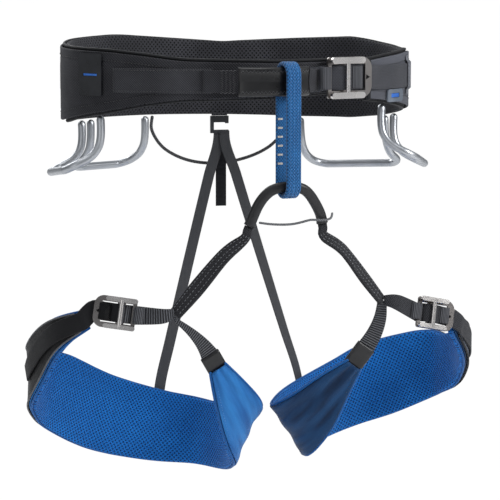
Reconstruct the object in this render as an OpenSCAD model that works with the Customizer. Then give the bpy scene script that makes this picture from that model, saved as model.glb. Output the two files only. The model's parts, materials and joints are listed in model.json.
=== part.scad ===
// Climbing harness: padded waist belt, tie-in and belay loops, two adjustable leg loops, gear loops.
// Millimetres. The origin is the centre of the waist opening, +Z is up and -Y is the wearer's front.
// The wearer's right side is -X.

/* [Waist belt] */
// Width of the belt across the hips, to the back of its outer shell
belt_w = 306; // [260:2:380]
// Depth of the belt from front to back, to the back of its outer shell
belt_d = 210; // [180:5:260]
// Thickness of the padded liner
pad_thick = 9; // [6:0.5:12]
// Thickness of the woven outer shell
shell_thick = 2; // [1:0.25:2.5]
// Width of the liner's edge that shows above and below the shell
edge_inset = 2.5; // [1:0.5:5]

/* [Waist webbing and buckle] */
// Width of the waist webbing
web_w = 21; // [18:0.5:25]
// Thickness of all structural webbing
web_thick = 1.8; // [1.2:0.1:2.2]
// Height of the waist webbing's middle line above the origin
web_z = 5; // [2:0.5:8]
// Breadth of each buckle rail beyond the waist webbing
buckle_side = 7; // [5:0.5:9]
// Thickness of the buckle plates
plate_thick = 2.2; // [1.5:0.1:3]
// Diameter of each buckle slider's centre bar
bar_d = 4; // [3:0.25:5]

/* [Tie-in and belay loop] */
// Height of the protective sleeve on the tie-in loop
sleeve_h = 25; // [23:0.5:27]
// Thickness of the protective sleeve, through both of its walls
sleeve_thick = 6; // [5:0.25:7]
// Distance that the tie-in loop stands off the belt
tie_in_bulge = 16; // [14:0.5:20]
// Width of the belay loop's webbing
loop_w = 13.5; // [12:0.5:16]
// Length of the belay loop over its two ends
loop_len = 114; // [105:1:125]
// Thickness of one strand of the belay loop
loop_thick = 3; // [2:0.25:4]
// Space between the belay loop's two strands
loop_gap = 17; // [16:0.5:22]

/* [Gear and haul loops] */
// Diameter of the gear loops' tube
gear_d = 7; // [5:0.5:8]
// Height of a gear loop from its hinge line to its bar
gear_drop = 42; // [38:1:55]
// Distance that a gear loop's bar stands out from its hinge line
gear_flare = 30; // [22:1:38]
// Diameter of the haul loop's cord
haul_d = 3; // [2:0.5:4]

/* [Leg loops] */
// Thickness of the leg pads
leg_pad_thick = 7; // [5:0.5:10]
// Thickness of the leg pads' outer fabric
leg_shell_thick = 1.2; // [0.8:0.1:2]
// Width of the leg loops' webbing
leg_web_w = 16; // [12:0.5:18]
// Breadth of each leg buckle rail beyond its webbing
leg_buckle_side = 5.5; // [4:0.5:7]
// Width of the elastic risers
riser_w = 10; // [8:0.5:14]
// Thickness of the elastic risers
riser_thick = 1.4; // [1:0.1:2]

/* [Hidden] */

// Clearance between neighbouring layers
gap = 0.3;
// Gap between layers that twist or lie at an angle to each other
twist_gap = 2 * gap;
// Easing on the edges of pads and of webbing
pad_ease = 2.4;
web_ease = 0.5;

// Distances of the belt's layers from the back of its shell, from the inside out
shell_in = gap;
shell_out = shell_in + shell_thick;
web_in = shell_out + gap;
web_mid = web_in + web_thick / 2;
web_out = web_in + web_thick;

// The belt's outline, seen from outside: angle round the belt from the wearer's left side,
// height of its lower edge and height of its upper edge
LEFT_WING = -52;
RIGHT_WING = 298;
BELT_EDGES = [
    [-52, -15, 22], [-40, -18, 25], [-20, -24, 28], [0, -30, 27], [20, -36, 31], [35, -39, 35],
    [58, -39, 33], [86, -37, 30], [111, -36, 35], [127, -36, 38], [155, -36, 36], [180, -35, 33],
    [216, -23, 31], [230, -17, 28], [243, -13, 24], [275, -11, 22], [298, -7, 23]];

// Where things sit round the belt
TIE_IN_FROM = 250;
TIE_IN_TO = 286.5;
TIE_IN_MID = 271;
LOOP_ANGLE = 275;
BUCKLE_ANGLE = 296;
STRAP_END = 345;
KEEPER_ANGLE = 338;
HOOK_ANGLE = 86;

// ---- Vectors, curves and sweeps ----

function unit(v) = v / norm(v);
function xyz(row) = [row[0], row[1], row[2]];
function width_way(row) = [row[3], row[4], row[5]];

// Direction of travel at row i
function heading(rows, i) =
    unit(xyz(rows[min(i + 1, len(rows) - 1)]) - xyz(rows[max(i - 1, 0)]));

// The part of v that is square to t
function square_to(v, t) = unit(v - (v * t) * t);

// Smooth curve through rows of numbers, with n steps from row to row
function bend(a, b, c, d, u) =
    0.5 * (2 * b + (c - a) * u + (2 * a - 5 * b + 4 * c - d) * u * u
    + (3 * b - a - 3 * c + d) * u * u * u);
function smooth(rows, n) = [
    for (i = [0 : len(rows) - 2], k = [0 : n - 1])
        bend(rows[max(i - 1, 0)], rows[i], rows[i + 1], rows[min(i + 2, len(rows) - 1)], k / n),
    rows[len(rows) - 1]];

// Closed solid through a row of rings that all have as many points. The two faces of a band are
// split along the same diagonals, so that layers keep their distance where a band twists.
module skin(rings) {
    n = len(rings[0]);
    last = (len(rings) - 1) * n;
    walls = [
        for (i = [0 : len(rings) - 2], j = [0 : n - 1])
            let (a = i * n + j, b = i * n + (j + 1) % n)
            each j < n / 2 ? [[a, b, b + n], [a, b + n, a + n]] : [[a, b, a + n], [b, b + n, a + n]]];
    caps = [[for (j = [n - 1 : -1 : 0]) j], [for (j = [0 : n - 1]) last + j]];
    polyhedron([for (ring = rings) each ring], concat(walls, caps));
}

// Ring of a flat band: wide along w, thick along n, with eased edges
function flat_ring(p, n, w, thick, wide, ease) =
    let (a = thick / 2, b = wide / 2, e = min(ease, 0.45 * thick)) [
        p + a * n - (b - e) * w, p + (a - e) * n - b * w,
        p - (a - e) * n - b * w, p - a * n - (b - e) * w,
        p - a * n + (b - e) * w, p - (a - e) * n + b * w,
        p + (a - e) * n + b * w, p + a * n + (b - e) * w];

// Band along rows of [x, y, z, width direction, width]; shift moves it out along its own normal
function band_rings(rows, thick, shift, ease, grow = 0) = [
    for (i = [0 : len(rows) - 1])
        let (t = heading(rows, i), w = square_to(width_way(rows[i]), t), n = cross(w, t))
        flat_ring(xyz(rows[i]) + shift * n, n, w, thick, rows[i][6] + grow, ease)];
module band(rows, thick, shift = 0, ease = web_ease, grow = 0) {
    skin(band_rings(rows, thick, shift, ease, grow));
}

// Rows with both ends carried on along the way they point
function carry_on(rows, far) =
    let (m = len(rows) - 1, a = heading(rows, 0), b = heading(rows, m)) concat(
        [concat(xyz(rows[0]) - far * a, [for (k = [3 : 6]) rows[0][k]])], rows,
        [concat(xyz(rows[m]) + far * b, [for (k = [3 : 6]) rows[m][k]])]);

// Round tube along points, with domed ends; its rings turn as little as they can
DOME = [[0, 0.18], [0.3, 0.75], [0.65, 0.95]];
function tube_frames(path, start) = [
    for (i = 0, n = square_to(start, heading(path, 0)); i < len(path);
        i = i + 1, n = i < len(path) ? square_to(n, heading(path, i)) : n) n];
function circle_ring(p, n, b, r, sides) = [
    for (k = [0 : sides - 1]) p + r * cos(360 * k / sides) * n + r * sin(360 * k / sides) * b];
module tube(path, d, sides, start = [0, 0.2, 1]) {
    m = len(path) - 1;
    r = d / 2;
    frames = tube_frames(path, start);
    t0 = heading(path, 0);
    t1 = heading(path, m);
    skin(concat(
        [for (s = DOME)
            circle_ring(path[0] - (1 - s[0]) * r * t0, frames[0], cross(frames[0], t0), r * s[1], sides)],
        [for (i = [0 : m])
            circle_ring(path[i], frames[i], cross(frames[i], heading(path, i)), r, sides)],
        [for (k = [len(DOME) - 1 : -1 : 0])
            circle_ring(path[m] + (1 - DOME[k][0]) * r * t1, frames[m], cross(frames[m], t1),
                r * DOME[k][1], sides)]));
}

// ---- The belt ----

// Outward direction and point of the belt at an angle, so far out from the back of its shell
function belt_normal(a) = unit([cos(a) / belt_w, sin(a) / belt_d, 0]);
function belt_point(a, out, z) =
    [belt_w / 2 * cos(a), belt_d / 2 * sin(a), z] + out * belt_normal(a);
function belt_low(a) = lookup(a, [for (e = BELT_EDGES) [e[0], e[1]]]);
function belt_high(a) = lookup(a, [for (e = BELT_EDGES) [e[0], e[2]]]);

// Rows that go round the belt; the band stays inside its edges by the inset
function round_belt(from, to, step, out, inset) = [
    for (k = [0 : ceil((to - from) / step)])
        let (a = min(from + k * step, to), low = belt_low(a) + inset, high = belt_high(a) - inset)
        concat(belt_point(a, out, (low + high) / 2), [0, 0, 1, high - low])];

// Rows of webbing that keeps one height round the belt
function round_belt_web(from, to, step, out, wide) = [
    for (k = [0 : ceil((to - from) / step)])
        let (a = min(from + k * step, to))
        concat(belt_point(a, out, web_z), [0, 0, 1, wide])];

module waist_liner() {
    color("#24262b")
        band(round_belt(LEFT_WING, RIGHT_WING, 5.5, -pad_thick / 2, 0), pad_thick, ease = pad_ease);
}

module waist_shell() {
    color("#3b3f46")
        band(round_belt(LEFT_WING + 0.5, RIGHT_WING - 0.5, 5.5, (shell_in + shell_out) / 2, edge_inset),
            shell_thick);
}

module waist_webbing() {
    color("#34373d")
        band(round_belt_web(218, TIE_IN_FROM + 3, 5, web_mid, web_w), web_thick);
}

// ---- Tie-in loop and belay loop ----

// The loop lies on the webbing at both ends and stands off the belt between them
tie_in_low = web_out + gap + web_thick / 2;
function tie_in_out(a) =
    let (half = (a < TIE_IN_MID) ? TIE_IN_MID - TIE_IN_FROM : TIE_IN_TO - TIE_IN_MID,
        s = min(abs(a - TIE_IN_MID) / half, 1))
    tie_in_low + tie_in_bulge * pow(1 - s * s, 1.2);
function tie_in_rows(from, to, wide) = [
    for (k = [0 : 24])
        let (a = from + (to - from) * k / 24)
        concat(belt_point(a, tie_in_out(a), web_z), [0, 0, 1, wide])];

module tie_in_loop() {
    color("#2b2d32") band(tie_in_rows(TIE_IN_FROM, TIE_IN_TO, web_w - 2), web_thick);
}

module tie_in_sleeve() {
    color("#17181b") difference() {
        band(tie_in_rows(260, 282.5, sleeve_h), sleeve_thick, ease = 1.5);
        band(tie_in_rows(258.5, 284, web_w - 2), web_thick + 2 * gap, grow = 2 * gap);
    }
}

// Middle of the belay loop's top, where it hangs on the sleeve
loop_at = belt_point(LOOP_ANGLE, tie_in_out(LOOP_ANGLE), 0);
// Room over the sleeve, because its corners stand in the loop's round top
loop_room = 1;
loop_high = web_z + sleeve_h / 2 + loop_room;
loop_top = [loop_at.x, loop_at.y, loop_high + loop_thick];
loop_turn = 12;

// Oblong of a length and a breadth, hanging down from the top, in the loop's own plane
module oblong(length, broad, thick) {
    rotate([90, 0, 90])
        linear_extrude(thick, center = true) {
            translate([-broad / 2, broad / 2 - length]) square([broad, length - broad]);
            for (y = [-broad / 2, broad / 2 - length])
                translate([0, y]) circle(d = broad, $fn = 64);
        }
}

module belay_loop() {
    color("#1f63c4") translate(loop_top) rotate([0, 0, loop_turn]) difference() {
        oblong(loop_len, loop_gap + 2 * loop_thick, loop_w);
        translate([0, 0, -loop_thick]) oblong(loop_len - 2 * loop_thick, loop_gap, loop_w + 2);
    }
}

// Six bar tacks on the loop's rear strand, as thin raised bars
module belay_loop_stitching() {
    color("#d9d4cc") translate(loop_top) rotate([0, 0, loop_turn])
        for (k = [0 : 5])
            translate([-loop_w / 4, loop_gap / 2 - 0.25, -48 - 7.5 * k])
                rotate([90, 0, 0]) cube([loop_w / 3, 1.6, 0.4], center = true);
}

// ---- Buckles ----

// A buckle's own axes: along the webbing, across it and outward, with its origin on the plate's
// back behind the centre bar
function frame_matrix(f) = [
    [f[1].x, f[2].x, f[3].x, f[0].x],
    [f[1].y, f[2].y, f[3].y, f[0].y],
    [f[1].z, f[2].z, f[3].z, f[0].z],
    [0, 0, 0, 1]];
function in_frame(f, u, v, w) = f[0] + u * f[1] + v * f[2] + w * f[3];
function make_frame(origin, along, out) =
    let (w = unit(out), u = square_to(along, w)) [origin, u, cross(w, u), w];

// Half breadth of the plate's middle bar and of its short end
mid_half = 3.5;
end_bar = 3.5;
bar_z = plate_thick + 3.2 + bar_d / 2;
rail_thick = 3.2;

module buckle_plate(web, side, short, long) {
    h = web + 2 * side;
    r = h * 0.3;
    linear_extrude(plate_thick) difference() {
        union() {
            translate([-short, -h / 2 + 2]) square([short + long - r, h - 4]);
            translate([-short + 2, -h / 2]) square([short + long - r - 2, h]);
            translate([long - r, -h / 2 + r]) square([r, h - 2 * r]);
            for (y = [-1, 1]) {
                translate([-short + 2, y * (h / 2 - 2)]) circle(r = 2, $fn = 24);
                translate([long - r, y * (h / 2 - r)]) circle(r = r, $fn = 48);
            }
        }
        translate([-short + end_bar, -web / 2 - 0.8])
            square([short - end_bar - mid_half, web + 1.6]);
        translate([mid_half, -web / 2 - 0.8])
            square([long - mid_half - 1.9 * end_bar, web + 1.6]);
        translate([long - 1.3 * end_bar, 0]) circle(r = end_bar * 0.75, $fn = 3);
    }
}

// Two rails joined by a round centre bar
module buckle_slider(web, side, half) {
    h = web + 2 * side;
    rail = side - 1.6;
    translate([0, 0, bar_z]) {
        rotate([90, 0, 0]) cylinder(h = h - rail, d = bar_d, center = true, $fn = 32);
        for (y = [-1, 1])
            translate([-half + rail / 2, y * (h - rail) / 2, -rail_thick / 2])
                linear_extrude(rail_thick) {
                    translate([0, -rail / 2]) square([2 * half - rail, rail]);
                    circle(d = rail, $fn = 32);
                    translate([2 * half - rail, 0]) circle(d = rail, $fn = 32);
                }
    }
}

// Webbing that comes from under the plate, over its middle bar and back under it: along, outward
web_under = -gap - web_thick / 2;
web_over = plate_thick + gap + web_thick / 2;
function threading(short, long) = [
    [-short, web_under - 0.2], [-short + end_bar + 0.6, web_under - 0.1],
    [-mid_half - 0.6, web_over + 0.2], [0, bar_z - bar_d / 2 - gap - web_thick / 2],
    [mid_half + 0.6, web_over + 0.2], [long - 2.2 * end_bar, web_under - 0.2],
    [long, web_under - 0.5]];
function threaded_rows(f, short, long, wide) = [
    for (p = threading(short, long)) concat(in_frame(f, p[0], 0, p[1]), f[2], [wide])];

// Waist buckle
WAIST_SHORT = 17;
WAIST_LONG = 28;
WAIST_RAIL = 17;
waist_frame = make_frame(belt_point(BUCKLE_ANGLE, web_out + gap + 1.7, web_z + 1.5),
    [-sin(BUCKLE_ANGLE) * belt_w, cos(BUCKLE_ANGLE) * belt_d, 0], belt_normal(BUCKLE_ANGLE));

module waist_buckle_plate() {
    color("#9a9794") multmatrix(frame_matrix(waist_frame))
        buckle_plate(web_w, buckle_side, WAIST_SHORT, WAIST_LONG);
}

module waist_buckle_slider() {
    color("#b5b2af") multmatrix(frame_matrix(waist_frame))
        buckle_slider(web_w, buckle_side, WAIST_RAIL);
}

// The strap starts on the belt, threads the buckle and ends over the left wing
module waist_strap() {
    before = round_belt_web(280, 286, 3, web_mid, web_w);
    after = round_belt_web(314, STRAP_END, 8, web_mid, web_w);
    rows = concat(before, threaded_rows(waist_frame, WAIST_SHORT, WAIST_LONG, web_w), after);
    color("#41464e") band(smooth(rows, 3), web_thick);
}

// Elastic keeper: a flat band over the strap, with both ends down on the shell
module strap_keeper() {
    side = web_w / 2 + 1.2;
    over = web_out + gap + 0.5;
    down = shell_out + gap + 0.5;
    profile = [[-side - 5, down], [-side - 1.5, down], [-side + 0.4, over], [0, over],
        [side - 0.4, over], [side + 1.5, down], [side + 5, down]];
    out = belt_normal(KEEPER_ANGLE);
    along = cross([0, 0, 1], out);
    rows = [for (p = profile) concat(belt_point(KEEPER_ANGLE, p[1], web_z + p[0]), along, [9])];
    color("#a5a9ae") band(rows, 1, ease = 0.3);
}

// ---- Ice clipper slots ----

// A patch that stands on the shell, with a slot that a strip of webbing fills
module clipper_patch(f, long, high, thick, slot_l, slot_h) {
    multmatrix(frame_matrix(f)) linear_extrude(thick) difference() {
        union() {
            square([long - 6, high], center = true);
            square([long, high - 6], center = true);
            for (x = [-1, 1], y = [-1, 1])
                translate([x * (long / 2 - 3), y * (high / 2 - 3)]) circle(r = 3, $fn = 24);
        }
        square([slot_l, slot_h], center = true);
    }
}

module clipper_insert(f, slot_l, slot_h, thick) {
    multmatrix(frame_matrix(f)) translate([0, 0, thick / 2])
        cube([slot_l - 2 * gap, slot_h - 2 * gap, thick], center = true);
}

function clipper_frame(a, z, lift) =
    make_frame(belt_point(a, lift, z), cross([0, 0, 1], belt_normal(a)), belt_normal(a));
right_clipper = clipper_frame(207, 9, shell_out + gap);
left_clipper = clipper_frame(324, -11.5, shell_out + gap);

module clipper_patch_right() {
    color("#1d1f23") clipper_patch(right_clipper, 26, 36, 1.6, 16, 2.4);
}
module clipper_insert_right() {
    color("#2a6fd0") clipper_insert(right_clipper, 16, 2.4, 1.2);
}
module clipper_frame_left() {
    color("#6d7177") clipper_patch(left_clipper, 26, 11, 1.6, 14, 4);
}
module clipper_insert_left() {
    color("#2a6fd0") clipper_insert(left_clipper, 14, 4, 1.2);
}

// ---- Gear loops ----

// A U in its own flat outline, from one end down, along its bar and up to the other end
GEAR_CORNER = 13;
function gear_outline(span, deep) = concat(
    [for (k = [0 : 3]) [0, (deep - GEAR_CORNER) * k / 4]],
    [for (q = [0 : 22.5 : 90])
        [GEAR_CORNER * (1 - cos(q)), deep - GEAR_CORNER * (1 - sin(q))]],
    [[span / 2, deep]],
    [for (q = [90 : -22.5 : 0])
        [span - GEAR_CORNER * (1 - cos(q)), deep - GEAR_CORNER * (1 - sin(q))]],
    [for (k = [3 : -1 : 0]) [span, (deep - GEAR_CORNER) * k / 4]]);

// The U's legs run straight down, bend outward through an arc and run on to the bar
GEAR_BEND_R = 24;
GEAR_BEND = 65;
gear_out = (gear_flare - GEAR_BEND_R * (1 - cos(GEAR_BEND))) / sin(GEAR_BEND);
gear_straight = gear_drop - GEAR_BEND_R * sin(GEAR_BEND) - gear_out * cos(GEAR_BEND);
gear_arc = GEAR_BEND_R * GEAR_BEND * PI / 180;
gear_leg = gear_straight + gear_arc + gear_out;

// How far down and how far out a point is, so far along the leg
function gear_bend(q) =
    let (turned = GEAR_BEND * max(0, min(1, (q - gear_straight) / gear_arc)),
        past = max(0, q - gear_straight - gear_arc))
    [min(q, gear_straight) + GEAR_BEND_R * sin(turned) + past * cos(GEAR_BEND),
        GEAR_BEND_R * (1 - cos(turned)) + past * sin(GEAR_BEND)];

// Point where a gear loop's end turns, just under the belt's lower edge
gear_room = 0.6;
function gear_end(a) = belt_point(a, -pad_thick / 2, belt_low(a) - gear_d / 2 - gear_room);

// A gear loop between two angles on the belt; its two ends lie on its hinge line
module gear_loop(from, to) {
    a = gear_end(from);
    b = gear_end(to);
    along = unit(b - a);
    out = unit(cross(along, [0, 0, 1]));
    down = cross(along, out);
    points = [
        for (p = gear_outline(norm(b - a), gear_leg))
            let (d = gear_bend(p[1])) a + p[0] * along + d[0] * down + d[1] * out];
    color("#b8bcc0") tube(smooth(points, 2), gear_d, 12, start = out);
}

module gear_loop_front_right() {
    gear_loop(150, 209);
}
module gear_loop_rear_right() {
    gear_loop(115, 143);
}
module gear_loop_rear_left() {
    gear_loop(14, 57);
}
module gear_loop_front_left() {
    gear_loop(-40, 5);
}

// ---- Haul loop ----

// The cord's route from its right end to its left end, measured from the belt's back:
// across from the middle, outward from the shell, and down from the belt's lower edge
HAUL_ROUTE = [
    [-66, -4, -10], [-61, 0, -20], [-53, 4, -29], [-42, 8, -36], [-30, 11, -41],
    [-17, 12.5, -44], [-3, 13, -45], [11, 13, -44], [25, 12, -41], [38, 9, -36], [49, 5, -29],
    [57, 1, -20], [62, -3, -10]];
haul_from = [belt_w / 2 * cos(HOOK_ANGLE), belt_d / 2, belt_low(HOOK_ANGLE) - haul_d / 2];
HAUL_ENDS = [112, 60];
haul_room = 0.5;
function haul_end(a) = belt_point(a, -pad_thick / 2, belt_low(a) - haul_d / 2 - haul_room);

module haul_loop() {
    route = concat([haul_end(HAUL_ENDS[0])], [for (p = HAUL_ROUTE) haul_from + p],
        [haul_end(HAUL_ENDS[1])]);
    color("#1b1c1f") tube(smooth(route, 2), haul_d, 8);
}

// ---- Rear hook and risers ----

// Anchor webbing on the back of the shell, and the flat hook that hangs in its end
hook_at = belt_point(HOOK_ANGLE, shell_out + gap + 3, belt_low(HOOK_ANGLE) - 2);
HOOK_W = 17;
HOOK_H = 16;
HOOK_THICK = 3;
hook_arm = 3;

module riser_anchor() {
    against_shell = hook_at.y - 3 + web_thick / 2;
    way = [1, 0, 0, HOOK_W - 2];
    color("#2a2c30") band([
        concat([hook_at.x, against_shell, web_z - 20], way),
        concat([hook_at.x, against_shell, hook_at.z + 6], way),
        concat([hook_at.x, hook_at.y, hook_at.z + 2], way),
        concat([hook_at.x, hook_at.y, hook_at.z + gap], way)], web_thick);
}

// A plate with an open window: a long arm on the right side and a short tip on the left side
module riser_hook() {
    tip = 7;
    color("#2f3236") translate([hook_at.x, hook_at.y + HOOK_THICK / 2, hook_at.z])
        rotate([90, 0, 0]) linear_extrude(HOOK_THICK) difference() {
            translate([-HOOK_W / 2, -HOOK_H]) square([HOOK_W, HOOK_H]);
            translate([-HOOK_W / 2 + hook_arm, -HOOK_H + hook_arm])
                square([HOOK_W - 2 * hook_arm, HOOK_H - 6 - hook_arm]);
            translate([HOOK_W / 2 - hook_arm - 1, -HOOK_H + hook_arm])
                square([hook_arm + 2, HOOK_H - tip - hook_arm]);
        }
}

// Where the risers start, under the hook's lower bar, and how far apart
riser_slant = 0.28;
riser_top = [hook_at.x, hook_at.y, hook_at.z - HOOK_H - twist_gap - riser_slant * riser_w / 2];

module riser_tail() {
    rows = [for (z = [0 : -11 : -66])
        concat(riser_top + [2, 1.5 * (riser_thick + gap), z], [1, 0, 0], [riser_w])];
    color("#1c1d20") band(rows, riser_thick);
}

// ---- Bridge between the leg loops ----

BRIDGE_H = 9;
BRIDGE_THICK = 7;
// Room under the bridge's crown, because the bridge curves down on both sides of the belay loop
crown_room = 1.8;
crown = [loop_at.x, loop_at.y,
    loop_top.z - loop_len + loop_thick + BRIDGE_H / 2 + gap + crown_room];

// Points of the bridge, measured from its crown, from right to left
BRIDGE_ROUTE = [
    [-32.5, 4, -32.5], [-28.5, 2.5, -22], [-23.5, 1.3, -12], [-14.5, 0, -3], [0, 0, 0],
    [15, 3.6, -3.4], [24.5, 8, -13.5], [31, 11, -25], [33, 12.3, -32.5]];
// The width direction points up and away from the middle of the arch
function arch_way(p) = unit([p.x * 0.9, 0, 16 + p.z * 0.3]);
bridge_rows = smooth([for (p = BRIDGE_ROUTE) concat(crown + p, arch_way(p), [BRIDGE_H])], 2);

module bridge_sleeve() {
    hollow = [for (r = carry_on(bridge_rows, 2)) concat(xyz(r), width_way(r), [BRIDGE_H - 3])];
    color("#202226") difference() {
        band(bridge_rows, BRIDGE_THICK, ease = 2.5);
        band(hollow, web_thick + 2 * gap, grow = 2 * gap);
    }
}

module bridge_webbing() {
    inner = [for (r = bridge_rows) concat(xyz(r), width_way(r), [BRIDGE_H - 3])];
    color("#34373c") band(inner, web_thick);
}

// Thin elastic cord across the arch, which wraps round the front of the arch's left foot
KEEPER_CORD_D = 2;
KEEPER_ROUTE = [
    [-24, 2, -30], [-16, 1.5, -31.2], [-6, 2, -32], [4, 3, -32], [13, 3.8, -30.6],
    [20.5, 4.3, -29], [27, 4.8, -29.3], [33, 5.8, -29.6], [39.5, 9, -28.5], [42, 13, -25]];

module bridge_keeper_cord() {
    route = [for (p = KEEPER_ROUTE) crown + p];
    color("#55585d") tube(smooth(route, 2), KEEPER_CORD_D, 8);
}

// ---- Leg loops ----

// Stations of the pads, measured from the bridge's crown: place, width direction and width.
// Each pad runs from its buckle round the outside and back of the thigh to the tab in front.
RIGHT_PAD = [
    [-163, 46, -113, 0, 0, 1, 17], [-181, 63, -125, 0, 0, 1, 26], [-191, 88, -144, 0, 0, 1, 37],
    [-196, 116, -169, 0, 0, 1, 47], [-188, 139, -183, 0, 0, 1, 57], [-170, 158, -194, 0, 0, 1, 69],
    [-127, 181, -219, 0, 0, 1, 70], [-77, 190, -235, 0, 0, 1, 66], [-42, 181, -240, 0, 0, 1, 62],
    [-24, 150, -240, 0.1, 0, 1, 59], [-18, 112, -233, 0.3, 0, 0.95, 56],
    [-19, 84, -223, 0.4, -0.1, 0.9, 53], [-27, 63, -203, 0.6, -0.05, 0.8, 45],
    [-41, 48, -178, 0.75, 0, 0.66, 31], [-53, 38, -157, 0.8, 0, 0.6, 17]];
LEFT_PAD = [
    [160, 46, -128, 0, 0, 1, 17], [174, 65, -142, 0, 0, 1, 26], [184, 89, -155, 0, 0, 1, 34],
    [190, 119, -167, 0, 0, 1, 42], [187, 144, -179, 0, 0, 1, 51], [177, 166, -184, 0, 0, 1, 62],
    [137, 188, -201, 0, 0, 1, 71], [104, 187, -213, 0, 0, 1, 68], [73, 170, -221, -0.1, 0, 1, 65],
    [47, 139, -225, -0.3, 0, 0.95, 62], [33, 109, -225, -0.5, 0, 0.87, 59],
    [29, 86, -221, -0.58, 0, 0.81, 57], [38, 64, -204, -0.7, 0, 0.7, 49],
    [52, 49, -181, -0.85, 0, 0.5, 35], [69, 38, -159, -0.92, 0, 0.38, 17]];
RIGHT = 1;
LEFT = -1;
PAD_STEPS = 3;
function pad_points(side) = [
    for (r = side == RIGHT ? RIGHT_PAD : LEFT_PAD)
        concat(crown + xyz(r), width_way(r), [r[6]])];
function pad_rows(side) = smooth(pad_points(side), PAD_STEPS);

// Distance from the pad's middle to the middle of each layer over it
over_shell = leg_pad_thick / 2 + gap + leg_shell_thick / 2;
over_cover = over_shell + leg_shell_thick / 2 + 1.5 * twist_gap + leg_shell_thick / 2;
over_strap = over_cover + leg_shell_thick / 2 + twist_gap + web_thick / 2;

// Rows moved out along their own normals, with their own width or another one
function lifted(rows, far, wide = 0) = [
    for (i = [0 : len(rows) - 1])
        let (t = heading(rows, i), w = square_to(width_way(rows[i]), t))
        concat(xyz(rows[i]) + far * cross(w, t), w, [wide > 0 ? wide : rows[i][6]])];

module leg_pad(side) {
    color("#1f57b8") band(pad_rows(side), leg_pad_thick, ease = pad_ease);
}
module leg_shell(side) {
    color("#1c4fa8") band(pad_rows(side), leg_shell_thick, side * over_shell, grow = -3);
}
module leg_cover(side) {
    rows = lifted(pad_rows(side), side * over_cover);
    color("#17181b")
        band([for (i = [1 : 5 * PAD_STEPS]) rows[i]], leg_shell_thick, grow = -3);
}

// Junctions of the leg webbing and middles of the tabs, measured from the bridge's crown
RIGHT_JUNCTION = [-92, 24, -108];
LEFT_JUNCTION = [90, 24, -103];
RIGHT_TAB = [-59, 36, -147];
LEFT_TAB = [79, 36, -145];
// Joined webbing is two layers thick
LEG_WEB_THICK = 3;

// From the bridge's end down to the junction. It starts just clear of the sleeve.
BRIDGE_CLEAR = 0.9;
module leg_webbing(side) {
    last = len(bridge_rows) - 1;
    foot = bridge_rows[side == RIGHT ? 0 : last];
    before = bridge_rows[side == RIGHT ? 1 : last - 1];
    end = xyz(foot);
    junction = crown + (side == RIGHT ? RIGHT_JUNCTION : LEFT_JUNCTION);
    t = unit(end - xyz(before));
    way = [-side * 0.5, 0.75, 0.4];
    rows = [
        concat(end + BRIDGE_CLEAR * t, width_way(foot), [BRIDGE_H - 1]),
        concat(end + 5 * t, width_way(foot), [BRIDGE_H - 1]),
        concat(end + 12 * t, 0.7 * width_way(foot) + 0.3 * way, [BRIDGE_H]),
        concat(0.66 * end + 0.34 * junction, way, [leg_web_w - 2]),
        concat(0.3 * end + 0.7 * junction, way, [leg_web_w]), concat(junction, way, [leg_web_w - 3])];
    color("#1d1e21") band(smooth(rows, 3), LEG_WEB_THICK);
}

// From just under the junction down to the tab, with a slight bow sideways
drop_bow = 12;
module leg_drop_webbing(side) {
    junction = crown + (side == RIGHT ? RIGHT_JUNCTION : LEFT_JUNCTION);
    tab = crown + (side == RIGHT ? RIGHT_TAB : LEFT_TAB);
    t = tab_heading(side);
    low_way = width_way(pad_points(side)[len(pad_points(side)) - 1]);
    start = junction + (side == RIGHT ? [1.5, 2.5, -6] : [0.4, 2.2, -5]);
    first_way = side == RIGHT ? [0.7, 0.5, 0.5] : [-0.9, 0.3, -0.2];
    rows = [for (k = [0 : 4]) let (s = k / 4)
        concat((1 - s) * start + s * (tab - 2 * t) + drop_bow * s * (1 - s) * [1, 0, 0],
            (1 - s) * first_way + s * low_way, [leg_web_w - (1 - s) * 7])];
    color("#3c3f44") band(concat(smooth(rows, 3), [concat(tab, low_way, [leg_web_w])]), web_thick);
}

// Folded keeper between the drop webbing's end and the pad's end
TAB_THICK = 4;
function tab_heading(side) =
    unit(xyz(pad_points(side)[len(pad_points(side)) - 1])
        - crown - (side == RIGHT ? RIGHT_TAB : LEFT_TAB));
module leg_tab(side) {
    points = pad_points(side);
    pad_end = points[len(points) - 1];
    tab = crown + (side == RIGHT ? RIGHT_TAB : LEFT_TAB);
    t = tab_heading(side);
    way = width_way(pad_end);
    far = norm(xyz(pad_end) - tab) - tab_room;
    color("#232529") band([
        for (d = [2 * gap, far / 2, far]) concat(tab + d * t, way, [leg_web_w + 2])], TAB_THICK, ease = 1);
}
// The pad's end face leans, so the keeper stops a little short of it
tab_room = 1.1;

// Leg buckles
LEG_SHORT = 13;
LEG_LONG = 23;
LEG_RAIL = 13.5;
RIGHT_BUCKLE = [-137, 33, -107];
LEFT_BUCKLE = [136, 33, -117];
function leg_frame(side) = side == RIGHT
    ? make_frame(crown + RIGHT_BUCKLE, [-0.96, 0.2, 0.14], [-0.22, -0.96, 0.12])
    : make_frame(crown + LEFT_BUCKLE, [0.93, 0.25, -0.22], [0.2, -0.96, 0.18]);

module leg_buckle_plate(side) {
    color("#9a9794") multmatrix(frame_matrix(leg_frame(side)))
        buckle_plate(leg_web_w, leg_buckle_side, LEG_SHORT, LEG_LONG);
}
module leg_buckle_slider(side) {
    color("#b5b2af") multmatrix(frame_matrix(leg_frame(side)))
        buckle_slider(leg_web_w, leg_buckle_side, LEG_RAIL);
}

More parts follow.
